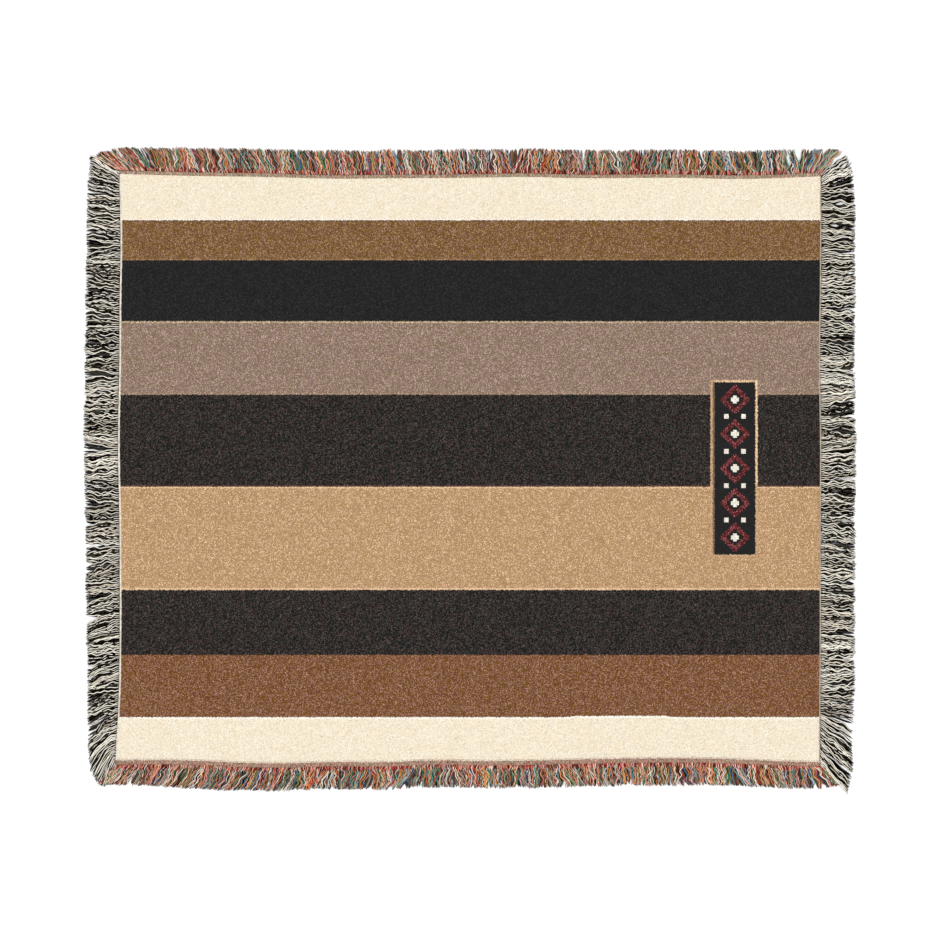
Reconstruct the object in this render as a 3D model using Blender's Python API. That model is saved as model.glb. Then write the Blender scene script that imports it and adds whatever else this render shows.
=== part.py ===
"""Fringed woven throw blanket, spread flat on a floor.

The cloth panel lies in the middle. Its outline is a little uneven, as woven cloth is. Along each of its
four sides runs a narrow strip, the woven heading at top and bottom and the selvedge at left and right,
and from that strip the cut yarn ends stand out as a fringe of flat locks that rest on the floor.

Metres, +Z up. X runs along the stripes, Y across them, and the underside is at Z = 0.
"""

from collections import namedtuple

import bmesh
import bpy
import numpy as np
from mathutils import Vector

# Driving dimensions

PANEL_WIDTH = 1.3846
PANEL_HEIGHT = 1.1487
CLOTH_THICKNESS = 0.0025
STRIP_THICKNESS = 0.0025
TOP_HEADING = 0.0076
BOTTOM_HEADING = 0.0099
SELVEDGE = 0.0034
PIECE_GAP = 0.0003
WARP_LOCKS = 80
WEFT_LOCKS = 65
LOCK_THICKNESS = 0.0036
LOCK_TOP_SHARE = 0.55

# How finely the outline is stepped, and how uneven the locks are

OUTLINE_STEPS = 30
WELD_DISTANCE = 0.00001
OUTWARD_FACING = 0.9
UNEVEN_SEED = 7
UNEVEN_LEAN = 0.0012
UNEVEN_REACH = 0.0020

# How far each edge of the panel bulges out from its straight line, along its length

Wave = namedtuple("Wave", "along bulge")

TOP_EDGE = (
    Wave(-0.690, 0.0055),
    Wave(-0.635, 0.0037),
    Wave(-0.540, 0.0014),
    Wave(-0.390, -0.0008),
    Wave(-0.290, -0.0038),
    Wave(-0.144, -0.0032),
    Wave(0.053, -0.0014),
    Wave(0.102, -0.0002),
    Wave(0.200, -0.0028),
    Wave(0.400, -0.0022),
    Wave(0.545, -0.0046),
    Wave(0.645, -0.0014),
    Wave(0.690, 0.0008),
)
BOTTOM_EDGE = (
    Wave(-0.690, 0.0006),
    Wave(-0.636, -0.0004),
    Wave(-0.538, 0.0010),
    Wave(-0.440, 0.0053),
    Wave(-0.364, 0.0063),
    Wave(-0.292, 0.0038),
    Wave(-0.144, 0.0034),
    Wave(-0.095, 0.0006),
    Wave(0.030, 0.0018),
    Wave(0.152, 0.0000),
    Wave(0.250, -0.0021),
    Wave(0.349, -0.0037),
    Wave(0.497, -0.0027),
    Wave(0.595, 0.0012),
    Wave(0.690, 0.0040),
)
LEFT_EDGE = (
    Wave(-0.572, 0.0076),
    Wave(-0.538, 0.0055),
    Wave(-0.498, 0.0029),
    Wave(-0.459, 0.0013),
    Wave(-0.433, 0.0002),
    Wave(-0.337, -0.0011),
    Wave(-0.179, -0.0012),
    Wave(-0.085, -0.0004),
    Wave(0.033, 0.0020),
    Wave(0.093, 0.0016),
    Wave(0.191, -0.0004),
    Wave(0.329, -0.0011),
    Wave(0.451, -0.0030),
    Wave(0.565, -0.0005),
)
RIGHT_EDGE = (
    Wave(-0.565, -0.0006),
    Wave(-0.433, 0.0000),
    Wave(-0.307, 0.0008),
    Wave(-0.136, 0.0004),
    Wave(0.055, 0.0014),
    Wave(0.219, -0.0010),
    Wave(0.351, 0.0010),
    Wave(0.457, 0.0015),
    Wave(0.565, 0.0016),
)

# How far a lock's tip drifts along its edge, and how far it stands out from the strip

Lay = namedtuple("Lay", "along lean reach")

TOP_LAY = (
    Lay(-0.697, -0.044, 0.027),
    Lay(-0.684, -0.043, 0.036),
    Lay(-0.669, -0.034, 0.043),
    Lay(-0.650, -0.028, 0.047),
    Lay(-0.600, -0.018, 0.047),
    Lay(-0.450, -0.013, 0.048),
    Lay(-0.300, -0.009, 0.048),
    Lay(0.150, 0.000, 0.048),
    Lay(0.500, -0.003, 0.048),
    Lay(0.615, -0.006, 0.048),
    Lay(0.640, 0.006, 0.048),
    Lay(0.665, 0.015, 0.047),
    Lay(0.678, 0.032, 0.044),
    Lay(0.694, 0.034, 0.040),
)
BOTTOM_LAY = (
    Lay(-0.697, -0.016, 0.041),
    Lay(-0.665, -0.024, 0.038),
    Lay(-0.600, -0.028, 0.042),
    Lay(-0.540, -0.026, 0.044),
    Lay(-0.400, -0.018, 0.045),
    Lay(-0.200, -0.008, 0.044),
    Lay(0.000, 0.000, 0.044),
    Lay(0.300, 0.004, 0.044),
    Lay(0.500, 0.007, 0.044),
    Lay(0.640, 0.010, 0.044),
    Lay(0.662, 0.011, 0.044),
    Lay(0.680, 0.032, 0.038),
    Lay(0.694, 0.036, 0.034),
)
LEFT_LAY = (
    Lay(-0.578, -0.050, 0.026),
    Lay(-0.563, -0.044, 0.042),
    Lay(-0.552, -0.033, 0.051),
    Lay(-0.539, -0.026, 0.054),
    Lay(-0.516, -0.027, 0.055),
    Lay(-0.450, -0.022, 0.061),
    Lay(-0.300, -0.004, 0.064),
    Lay(0.000, 0.000, 0.066),
    Lay(0.300, 0.001, 0.066),
    Lay(0.480, 0.004, 0.065),
    Lay(0.537, 0.005, 0.061),
    Lay(0.557, 0.010, 0.060),
    Lay(0.578, 0.022, 0.056),
)
RIGHT_LAY = (
    Lay(-0.578, -0.052, 0.057),
    Lay(-0.571, -0.038, 0.060),
    Lay(-0.563, -0.026, 0.063),
    Lay(-0.552, -0.018, 0.064),
    Lay(-0.520, -0.016, 0.062),
    Lay(-0.450, -0.006, 0.065),
    Lay(-0.300, -0.001, 0.066),
    Lay(0.000, 0.000, 0.066),
    Lay(0.300, 0.000, 0.066),
    Lay(0.500, 0.001, 0.066),
    Lay(0.545, 0.006, 0.065),
    Lay(0.559, 0.022, 0.060),
    Lay(0.566, 0.033, 0.050),
    Lay(0.576, 0.043, 0.045),
)

# The sections of a lock from its root outwards: shares of its reach, of its width at the root, of its
# thickness, and of its lean

Section = namedtuple("Section", "out width height lean")

LOCK_SECTIONS = (
    Section(0.20, 0.92, 1.00, 0.12),
    Section(0.70, 0.88, 0.86, 0.64),
    Section(1.00, 0.55, 0.45, 1.00),
)

# Base colour and roughness of each finish

Finish = namedtuple("Finish", "colour roughness")

CLOTH_FINISH = Finish((0.22, 0.13, 0.07), 0.90)
WARP_FINISH = Finish((0.27, 0.18, 0.13), 0.85)
WEFT_FINISH = Finish((0.21, 0.19, 0.16), 0.85)

# One side of the blanket in its own directions: along runs along the edge and out runs away from the
# cloth. The strip starts at inset from the panel's edge and is depth wide.

Side = namedtuple("Side", "name along out half edge inset depth first last lay locks")

RIGHTWARD = Vector((1.0, 0.0, 0.0))
UPWARD = Vector((0.0, 1.0, 0.0))
RISE = Vector((0.0, 0.0, 1.0))


def smooth(places, values, where):
    """Read a smooth curve through the given points: a cubic between neighbours, level past the ends."""
    places = np.asarray(places)
    values = np.asarray(values)
    where = np.clip(where, places[0], places[-1])
    slopes = np.gradient(values, places)
    left = np.clip(np.searchsorted(places, where, side="right") - 1, 0, len(places) - 2)
    span = places[left + 1] - places[left]
    share = (where - places[left]) / span
    start = (1 + 2 * share) * (1 - share) ** 2
    leaving = share * (1 - share) ** 2 * span
    arriving = share**2 * (share - 1) * span
    return (
        start * values[left]
        + (1 - start) * values[left + 1]
        + leaving * slopes[left]
        + arriving * slopes[left + 1]
    )


def edge_distance(half, edge, along):
    """Distance of an uneven edge of the panel from the panel's middle line, at places along the edge."""
    return half + smooth([row.along for row in edge], [row.bulge for row in edge], along)


def edge_line(side):
    """Places along a side's edge, and how far out the edge lies there. The cloth and its strip share them."""
    places = np.linspace(side.first, side.last, OUTLINE_STEPS + 1)
    return places, edge_distance(side.half, side.edge, places)


def corner_distance(side, end, inward):
    """How far out a selvedge may run at a corner before it meets the heading that lies across it."""
    places, distances = edge_line(side)
    return min(np.interp((end, end + inward), places, distances))


def warp_side(name, out, edge, heading, lay):
    """The top or bottom side, with a heading outside the panel's edge, from outline to outline."""
    half_width = PANEL_WIDTH / 2
    half_height = PANEL_HEIGHT / 2
    first = -edge_distance(half_width, LEFT_EDGE, half_height * out.y)
    last = edge_distance(half_width, RIGHT_EDGE, half_height * out.y)
    return Side(
        name, RIGHTWARD, out, half_height, edge, PIECE_GAP, heading, first, last, lay, WARP_LOCKS
    )


def weft_side(name, out, edge, first, last, lay):
    """The left or right side, with a selvedge inside the panel's edge, between the two headings."""
    return Side(
        name, UPWARD, out, PANEL_WIDTH / 2, edge, -SELVEDGE, SELVEDGE, first, last, lay, WEFT_LOCKS
    )


def blanket_sides():
    """The four sides with their strips."""
    inset = SELVEDGE + PIECE_GAP
    top = warp_side("fringe_top", UPWARD, TOP_EDGE, TOP_HEADING, TOP_LAY)
    bottom = warp_side("fringe_bottom", -UPWARD, BOTTOM_EDGE, BOTTOM_HEADING, BOTTOM_LAY)
    left = weft_side(
        "fringe_left", -RIGHTWARD, LEFT_EDGE,
        -corner_distance(bottom, bottom.first, inset), corner_distance(top, top.first, inset), LEFT_LAY,
    )
    right = weft_side(
        "fringe_right", RIGHTWARD, RIGHT_EDGE,
        -corner_distance(bottom, bottom.last, -inset), corner_distance(top, top.last, -inset), RIGHT_LAY,
    )
    return top, bottom, left, right


def make_finish(name, finish):
    """A cloth finish of one colour, without metal."""
    material = bpy.data.materials.new(name)
    material.use_nodes = True
    shader = material.node_tree.nodes["Principled BSDF"]
    shader.inputs["Base Color"].default_value = (*finish.colour, 1.0)
    shader.inputs["Roughness"].default_value = finish.roughness
    shader.inputs["Metallic"].default_value = 0.0
    return material


def flat_shape(points, thickness):
    """A flat piece standing on Z = 0: its outline as a filled curve, extruded and welded."""
    curve = bpy.data.curves.new("outline", "CURVE")
    curve.dimensions = "2D"
    curve.fill_mode = "BOTH"
    curve.extrude = thickness / 2
    spline = curve.splines.new("POLY")
    spline.points.add(len(points) - 1)
    for point, place in zip(spline.points, points):
        point.co = (place.x, place.y, 0.0, 1.0)
    spline.use_cyclic_u = True
    outline = bpy.data.objects.new("outline", curve)
    bpy.context.scene.collection.objects.link(outline)
    evaluated = outline.evaluated_get(bpy.context.evaluated_depsgraph_get())
    mesh = bpy.data.meshes.new_from_object(evaluated)
    shape = bmesh.new()
    shape.from_mesh(mesh)
    bmesh.ops.remove_doubles(shape, verts=shape.verts, dist=WELD_DISTANCE)
    bmesh.ops.translate(shape, verts=shape.verts, vec=RISE * thickness / 2)
    bmesh.ops.recalc_face_normals(shape, faces=shape.faces)
    bpy.data.objects.remove(outline, do_unlink=True)
    bpy.data.curves.remove(curve)
    bpy.data.meshes.remove(mesh)
    return shape


def add_piece(name, shape, material, collection):
    """Turn a finished shape into a named object of the blanket."""
    mesh = bpy.data.meshes.new(name)
    shape.to_mesh(mesh)
    shape.free()
    mesh.materials.append(material)
    piece = bpy.data.objects.new(name, mesh)
    collection.objects.link(piece)
    return piece


def side_points(side, places, distances):
    """Points in the plan from places along a side and distances out from the middle."""
    return [side.along * place + side.out * out for place, out in zip(places, distances)]


def cloth_outline(sides):
    """Points round the cloth, which ends at its headings and just inside its selvedges."""
    inset = SELVEDGE + PIECE_GAP
    lines = []
    for side in sides:
        places, distances = edge_line(side)
        if side.inset > 0.0:
            shortened = np.clip(places, places[0] + inset, places[-1] - inset)
            lines.append(side_points(side, shortened, np.interp(shortened, places, distances)))
        else:
            lines.append(side_points(side, places[1:-1], distances[1:-1] - inset))
    top, bottom, left, right = lines
    return bottom + right + top[::-1] + left[::-1]


def grow_lock(shape, side, root, lean, reach):
    """Extrude one lock from its root face through its sections, narrowing to a blunt tip."""
    along_root = [vert.co.dot(side.along) for vert in root.verts]
    half_width = (max(along_root) - min(along_root)) / 2
    start = root.calc_center_median()
    face = root
    for section in LOCK_SECTIONS:
        middle = face.calc_center_median().dot(side.along)
        face = bmesh.ops.extrude_discrete_faces(shape, faces=[face])["faces"][0]
        place = start.dot(side.along) + section.lean * lean
        out = start.dot(side.out) + section.out * reach
        for vert in face.verts:
            on_top = vert.co.z > WELD_DISTANCE
            half = section.width * half_width * (LOCK_TOP_SHARE if on_top else 1.0)
            across = half if vert.co.dot(side.along) > middle else -half
            height = section.height * LOCK_THICKNESS if on_top else 0.0
            vert.co = side.along * (place + across) + side.out * out + RISE * height


def make_fringe(side, material, collection, chance):
    """One strip with its locks fused to it at their roots."""
    places, distances = edge_line(side)
    stations = np.linspace(side.last, side.first, side.locks + 1)
    outer = edge_distance(side.half, side.edge, stations) + side.inset + side.depth
    points = side_points(side, places, distances + side.inset) + side_points(side, stations, outer)
    shape = flat_shape(points, STRIP_THICKNESS)
    roots = [face for face in shape.faces if face.normal.dot(side.out) > OUTWARD_FACING]
    roots.sort(key=lambda face: face.calc_center_median().dot(side.along))
    if len(roots) != side.locks:
        raise RuntimeError(f"{side.name} has {len(roots)} roots for {side.locks} locks")
    places = [face.calc_center_median().dot(side.along) for face in roots]
    lay_places = [row.along for row in side.lay]
    leans = smooth(lay_places, [row.lean for row in side.lay], places)
    reaches = smooth(lay_places, [row.reach for row in side.lay], places)
    leans = leans + chance.uniform(-UNEVEN_LEAN, UNEVEN_LEAN, side.locks)
    reaches = reaches + chance.uniform(-UNEVEN_REACH, UNEVEN_REACH, side.locks)
    for root, lean, reach in zip(roots, leans, reaches):
        grow_lock(shape, side, root, lean, reach)
    bmesh.ops.recalc_face_normals(shape, faces=shape.faces)
    return add_piece(side.name, shape, material, collection)


def centre_on_origin(pieces):
    """Shift the whole blanket so that the middle of its outline stands over the origin."""
    corners = np.array([vert.co[:2] for piece in pieces for vert in piece.data.vertices])
    middle = (corners.min(axis=0) + corners.max(axis=0)) / 2
    for piece in pieces:
        piece.location.x = -middle[0]
        piece.location.y = -middle[1]


def main():
    """Build the blanket."""
    for item in list(bpy.data.objects):
        bpy.data.objects.remove(item, do_unlink=True)
    collection = bpy.data.collections.new("fringed_throw_blanket")
    bpy.context.scene.collection.children.link(collection)
    chance = np.random.default_rng(UNEVEN_SEED)
    sides = blanket_sides()
    cloth_shape = flat_shape(cloth_outline(sides), CLOTH_THICKNESS)
    pieces = [add_piece("cloth", cloth_shape, make_finish("woven_cloth", CLOTH_FINISH), collection)]
    warp = make_finish("warp_yarn", WARP_FINISH)
    weft = make_finish("weft_yarn", WEFT_FINISH)
    for side, material in zip(sides, (warp, warp, weft, weft)):
        pieces.append(make_fringe(side, material, collection, chance))
    centre_on_origin(pieces)


main()
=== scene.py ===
"""Builds the looks of a fringed woven throw blanket that lies flat on a pale floor.

The striped cloth, its two headings and its two selvedges are closed thin sheets worked out on grids.
The fringe is loose cut yarn: every strand is a tube carried along a path of its own. Metres, +Z up. X
runs along the stripes, Y across them, and the blanket rests on Z = 0.
"""

import math
from collections import namedtuple

import bpy
import numpy as np
from bpy.props import FloatProperty, FloatVectorProperty, IntProperty, PointerProperty
from bpy.types import NodeSocket, Operator, Panel, PropertyGroup
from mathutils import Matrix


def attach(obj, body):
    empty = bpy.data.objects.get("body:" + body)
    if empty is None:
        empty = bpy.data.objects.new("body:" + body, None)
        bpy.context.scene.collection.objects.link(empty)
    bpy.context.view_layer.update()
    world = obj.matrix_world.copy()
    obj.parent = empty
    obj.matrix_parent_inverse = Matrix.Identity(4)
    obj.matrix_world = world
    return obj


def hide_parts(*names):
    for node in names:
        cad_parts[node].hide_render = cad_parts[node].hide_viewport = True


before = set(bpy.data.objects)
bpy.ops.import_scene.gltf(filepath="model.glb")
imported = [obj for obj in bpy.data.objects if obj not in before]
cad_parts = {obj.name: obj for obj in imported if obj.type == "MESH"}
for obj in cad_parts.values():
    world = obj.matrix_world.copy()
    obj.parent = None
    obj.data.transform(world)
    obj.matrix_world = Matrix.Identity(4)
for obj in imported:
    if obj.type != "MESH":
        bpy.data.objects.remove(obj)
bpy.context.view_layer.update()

bl_info = {
    "name": "Fringed Throw Blanket",
    "version": (1, 0, 0),
    "blender": (4, 5, 0),
    "location": "View3D > Sidebar > Blanket",
    "description": "Builds a flat striped throw blanket with loose yarn fringe on all four sides",
    "category": "Add Mesh",
}

BODY = "root"

# The studio's light on a level white surface, the share of it that comes from the whole sky, and the share
# that the relief of cloth gives back

LIGHT_LEVEL = 1.34
SKY_SHARE = 0.66
RELIEF_SHARE = 0.82

# How a display shows linear light: in proportion up to its knee, and by a power above it

DISPLAY_WHITE = 255.0
DISPLAY_KNEE = 0.04045
DISPLAY_RATE = 12.92
DISPLAY_OFFSET = 0.055
DISPLAY_POWER = 2.4

# The camera looks straight down and takes in this width of the cloth's level. The floor lies just under the
# blanket, and a wide sun leans the light a little.

CAMERA_X = -0.0001
CAMERA_Y = -0.0023
VIEW_WIDTH = 1.8518
CAMERA_LENS = 85.0
CAMERA_SENSOR = 36.0
FLOOR_SIZE = 40.0
FLOOR_DROP = 0.0002
FLOOR_COLOUR = (0.93, 0.93, 0.93)
SUN_TURN = (math.radians(-18.0), math.radians(-20.0), 0.0)
SUN_SPREAD = math.radians(35.0)

# The sheets' rims, seams and gentle unevenness: points lie close together at the rim steps, and each sheet's
# faces part from its rim in a quarter round

RIM_SEARCH = 0.020
PLACE_DIGITS = 6
PIECE_GAP = 0.0003
SEAM_TUCK = 0.0006
RIM_STEPS = (0.0, 0.00025, 0.0006, 0.0012)
RIM_ROUND = 0.0012
WAVE_HEIGHT = 0.0006
WAVE_FADE = 0.060
WAVE_ACROSS = 0.31
WAVE_UP = 0.23
WAVE_SLANT = 0.7
STRIP_STEP = 0.0005

# The weave: the size and strength of its patches of colour, how ragged the stripes' edges are, how far teeth
# of the strips' yarn reach in, its relief, and the painted shade in its gaps

HUE_PATCH = 0.0055
HUE_GAIN = 2.6
FLECK_REACH = 1.6
RAGGED_EDGE = 0.0016
SELVEDGE_TOOTH = 0.0014
HEADING_TOOTH = 0.0026
WEAVE_RELIEF = 0.00035
WEAVE_GAP_SHADE = 0.12

# The light of cells: an even chance from 0 to 1 raised to a power, less its mean and over its spread, and the
# lightest colour that it makes

LEVEL_POWER = 5.0
LEVEL_MEAN = 1.0 / (LEVEL_POWER + 1.0)
LEVEL_SPREAD = math.sqrt(1.0 / (2.0 * LEVEL_POWER + 1.0) - LEVEL_MEAN**2)
BRIGHTEST = 0.95

# Loose fibre on every finish, with the detail of fine and of soft patches

FIBRE_SIZE = 0.0004
FIBRE_SHADE = 0.10
FIBRE_RELIEF = 0.25
FIBRE_ROUGHNESS = (0.82, 0.98)
FINE_DETAIL = 2.0
SOFT_DETAIL = 1.0

# Gloss and sheen of woven cloth and of loose yarn

CLOTH_GLOSS = 0.05
CLOTH_SHEEN = 0.04
YARN_GLOSS = 0.02
YARN_SHEEN = 0.0
SHEEN_ROUGHNESS = 0.6

# Which cells each woven finish draws

CLOTH_SEED = 1.0
HEADING_SEED = 2.0
SELVEDGE_SEED = 3.0

# Where a material's nodes stand: in columns, and past them the shader and the output

NODES_IN_COLUMN = 8
NODE_SPACING = (220.0, -190.0)
SHADER_PLACE = (2600.0, 0.0)
OUTPUT_PLACE = (2900.0, 0.0)

# A Mix node's share and its two colours among its inputs, and its colour among its outputs

MIX_INPUTS = (0, 6, 7)
MIX_OUTPUT = 2

# Digits after the point that the panel shows of a length in metres

LENGTH_DIGITS = 5

# Stripes from the top edge down, each to the height of its lower edge. A row is one line of weave where
# two stripes meet.

Band = namedtuple("Band", "tone bottom")

BANDS = (
    Band("cream", 0.4922),
    Band("white_row", 0.4899),
    Band("dark_brown_row", 0.4870),
    Band("golden_brown", 0.4134),
    Band("light_brown_row", 0.4110),
    Band("black", 0.2905),
    Band("pale_tan_row", 0.2874),
    Band("taupe", 0.1494),
    Band("tan_row", 0.1461),
    Band("near_black", -0.0320),
    Band("reddish_row", -0.0354),
    Band("bright_tan_row", -0.0382),
    Band("tan", -0.2348),
    Band("bright_tan_row", -0.2384),
    Band("near_black", -0.3666),
    Band("red_brown", -0.4891),
    Band("white_row", -0.4930),
    Band("cream", -1.0),
)

# One line of weave of the last stripe but one gives out here, so the white row lies higher for a while

SHORT_ROW_START = 0.199
SHORT_ROW_END = 0.394
SHORT_ROW_RAMP = 0.012
SHORT_ROW_ABOVE = -0.45
SHORT_ROW_HEIGHT = 0.0024

# How a tone varies from cell to cell: the colour that it is flecked with, how far a cell's brightness
# steps on the display, and how much of the flecking comes in patches wider than a cell. A step below 0
# makes the rare flecks dark.

Tone = namedtuple("Tone", "name red green blue step patchy")

TONES = (
    Tone("cream", 238, 218, 184, -9.0, 0.35),
    Tone("white_row", 252, 246, 232, -10.0, 0.35),
    Tone("dark_brown_row", 120, 84, 66, 26.0, 1.0),
    Tone("golden_brown", 127, 92, 73, 30.0, 0.85),
    Tone("light_brown_row", 158, 122, 92, 28.0, 1.0),
    Tone("black", 36, 36, 37, 11.0, 1.0),
    Tone("pale_tan_row", 192, 166, 138, 26.0, 1.0),
    Tone("taupe", 151, 124, 116, 28.0, 0.85),
    Tone("tan_row", 164, 138, 120, 26.0, 1.0),
    Tone("near_black", 56, 42, 39, 26.0, 0.7),
    Tone("reddish_row", 92, 62, 52, 24.0, 1.0),
    Tone("bright_tan_row", 232, 194, 158, -20.0, 1.0),
    Tone("tan", 192, 154, 121, 29.0, 0.85),
    Tone("red_brown", 128, 88, 76, 31.0, 0.6),
)

# The woven patch near the right selvedge: where it is, how wide the pale line round it is at each side, below
# which height that line is duller, how uneven its edges and its light are, and its stepped lozenges

PATCH_LEFT = 0.4814
PATCH_RIGHT = 0.5622
PATCH_TOP = 0.1708
PATCH_BOTTOM = -0.1690
LEFT_LINE = 0.0078
LEFT_RIM = 0.0034
RIGHT_LINE = 0.0043
END_LINE = 0.0036
LINE_ON_TAN = -0.0335
LINE_RAGGED = 0.0020
PATCH_LIGHT = 0.22
RED_STEP = 24.0
PATCH_RED_SHOWN = (105, 50, 51)
LOZENGES = 5
LOZENGE_STEP = 0.0040
LOZENGE_REACH = 0.0280
LOZENGE_FIELD = 0.0160
LOZENGE_HEART = 0.0080
CORNER_SQUARE = 0.0045
CORNER_SQUARE_PLACE = 0.0170

# Cells of the headings: tones of the tightly packed warp, as shares of all cells

HeadingTone = namedtuple("HeadingTone", "share red green blue")

HEADING_TONES = (
    HeadingTone(0.20, 152, 130, 106),
    HeadingTone(0.18, 168, 144, 120),
    HeadingTone(0.16, 142, 146, 120),
    HeadingTone(0.14, 182, 130, 108),
    HeadingTone(0.12, 196, 172, 150),
    HeadingTone(0.10, 120, 96, 76),
    HeadingTone(0.04, 122, 66, 52),
    HeadingTone(0.06, 222, 184, 164),
)

# What each heading's tones are multiplied by, how many rows of the cloth one of its cells spans, how dark the
# painted shade in the gaps between cells is, the colour of its teeth in the cloth, how far the cloth's teeth
# reach into the lower heading, and how far a heading runs on past the cloth

TOP_TINT = (1.07, 1.10, 1.12)
BOTTOM_TINT = (1.06, 0.94, 1.00)
HEADING_ROWS = 2.0
HEADING_GAP_SHADE = 0.20
HEADING_TOOTH_COLOUR = (200, 168, 146)
CLOTH_TOOTH = 0.0014
HEADING_OVERRUN = 0.0030

# The loops of a selvedge, the painted shade in the gaps between them, and the patches where they are duller

LOOP_WIDTH = 0.0013
LOOP_DEPTH = 0.0040
LOOP_LIGHT = 0.10
LOOP_GAP_SHADE = 0.15
LOOP_PATCH = 0.012
LOOP_PATCH_SHADE = 0.45

# The upper face of a strip: the spacing of its points along its edge, its ridges in a metre along and out,
# and their depth

Ridging = namedtuple("Ridging", "step along out depth")

HEADING_RIDGING = Ridging(0.0040, 0.0, 400.0, 0.0005)
SELVEDGE_RIDGING = Ridging(0.00075, 380.0, 120.0, 0.0006)

# One side of the blanket in its own directions, with its node, the name of its strip among the settings, and
# the seed of its strands

Side = namedtuple("Side", "name node strip seed along out lay openings")

# For places along an edge: how far a strand's tip drifts along the edge, how far it reaches out from the
# strip, and how late it drifts. A power of 1 leaves it straight, a higher one bends it near its tip and a
# lower one near its root.

Lay = namedtuple("Lay", "along lean reach power")

TOP_LAY = (
    Lay(-0.697, -0.050, 0.022, 0.8),
    Lay(-0.684, -0.045, 0.034, 0.8),
    Lay(-0.669, -0.034, 0.043, 0.9),
    Lay(-0.650, -0.028, 0.046, 1.0),
    Lay(-0.600, -0.018, 0.047, 1.2),
    Lay(-0.450, -0.013, 0.048, 1.4),
    Lay(-0.300, -0.009, 0.048, 1.4),
    Lay(0.150, 0.000, 0.048, 1.4),
    Lay(0.500, -0.003, 0.048, 1.4),
    Lay(0.615, -0.006, 0.048, 1.4),
    Lay(0.640, 0.000, 0.048, 1.4),
    Lay(0.650, 0.012, 0.048, 1.4),
    Lay(0.665, 0.015, 0.047, 1.4),
    Lay(0.678, 0.026, 0.046, 0.9),
    Lay(0.694, 0.031, 0.043, 0.9),
)
BOTTOM_LAY = (
    Lay(-0.697, -0.022, 0.040, 1.2),
    Lay(-0.680, -0.026, 0.038, 1.1),
    Lay(-0.655, -0.028, 0.040, 1.1),
    Lay(-0.600, -0.028, 0.042, 1.4),
    Lay(-0.540, -0.026, 0.045, 1.4),
    Lay(-0.400, -0.018, 0.045, 1.4),
    Lay(-0.200, -0.008, 0.044, 1.4),
    Lay(0.000, 0.000, 0.044, 1.4),
    Lay(0.300, 0.004, 0.044, 1.4),
    Lay(0.500, 0.007, 0.044, 1.4),
    Lay(0.640, 0.009, 0.044, 1.4),
    Lay(0.662, 0.013, 0.044, 1.4),
    Lay(0.676, 0.032, 0.040, 0.9),
    Lay(0.694, 0.038, 0.032, 0.8),
)
LEFT_LAY = (
    Lay(-0.579, -0.050, 0.012, 1.1),
    Lay(-0.573, -0.052, 0.022, 1.2),
    Lay(-0.563, -0.054, 0.032, 1.4),
    Lay(-0.552, -0.057, 0.041, 1.7),
    Lay(-0.538, -0.050, 0.050, 1.8),
    Lay(-0.515, -0.036, 0.056, 1.6),
    Lay(-0.449, -0.022, 0.061, 1.4),
    Lay(-0.300, -0.004, 0.065, 1.4),
    Lay(0.000, 0.000, 0.067, 1.4),
    Lay(0.300, 0.001, 0.066, 1.4),
    Lay(0.480, 0.003, 0.066, 1.4),
    Lay(0.531, 0.006, 0.063, 1.4),
    Lay(0.549, 0.010, 0.062, 1.4),
    Lay(0.562, 0.018, 0.061, 1.0),
    Lay(0.577, 0.033, 0.057, 0.9),
)
RIGHT_LAY = (
    Lay(-0.575, -0.060, 0.052, 0.9),
    Lay(-0.567, -0.063, 0.054, 0.9),
    Lay(-0.546, -0.049, 0.064, 0.95),
    Lay(-0.516, -0.041, 0.062, 1.0),
    Lay(-0.495, -0.046, 0.062, 1.0),
    Lay(-0.487, -0.036, 0.062, 1.0),
    Lay(-0.480, -0.019, 0.065, 1.3),
    Lay(-0.470, -0.006, 0.066, 1.4),
    Lay(-0.300, -0.001, 0.066, 1.4),
    Lay(0.000, 0.000, 0.067, 1.4),
    Lay(0.300, 0.000, 0.067, 1.4),
    Lay(0.500, 0.001, 0.066, 1.4),
    Lay(0.537, 0.003, 0.066, 1.4),
    Lay(0.550, 0.008, 0.064, 1.4),
    Lay(0.559, 0.020, 0.061, 0.9),
    Lay(0.567, 0.028, 0.056, 0.8),
    Lay(0.577, 0.042, 0.049, 0.8),
)

# Where the strands part and the floor shows: how far along and out the middle of the opening is, its half
# width along the edge, and its half length outwards

Opening = namedtuple("Opening", "along out width length")

TOP_OPENINGS = (
    Opening(-0.286, 0.048, 0.0030, 0.014),
    Opening(0.646, 0.050, 0.0076, 0.032),
    Opening(0.701, 0.050, 0.0066, 0.026),
)
BOTTOM_OPENINGS = (
    Opening(-0.157, 0.044, 0.0050, 0.013),
    Opening(-0.131, 0.044, 0.0065, 0.014),
    Opening(0.681, 0.040, 0.0034, 0.012),
    Opening(0.697, 0.040, 0.0060, 0.012),
)
LEFT_OPENINGS = (
    Opening(-0.298, 0.068, 0.0098, 0.038),
    Opening(-0.209, 0.049, 0.0020, 0.017),
    Opening(-0.188, 0.066, 0.0050, 0.015),
    Opening(-0.317, 0.052, 0.0030, 0.009),
    Opening(-0.392, 0.057, 0.0034, 0.011),
    Opening(-0.414, 0.056, 0.0030, 0.008),
    Opening(0.043, 0.040, 0.0026, 0.008),
    Opening(-0.032, 0.042, 0.0026, 0.008),
)
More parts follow.
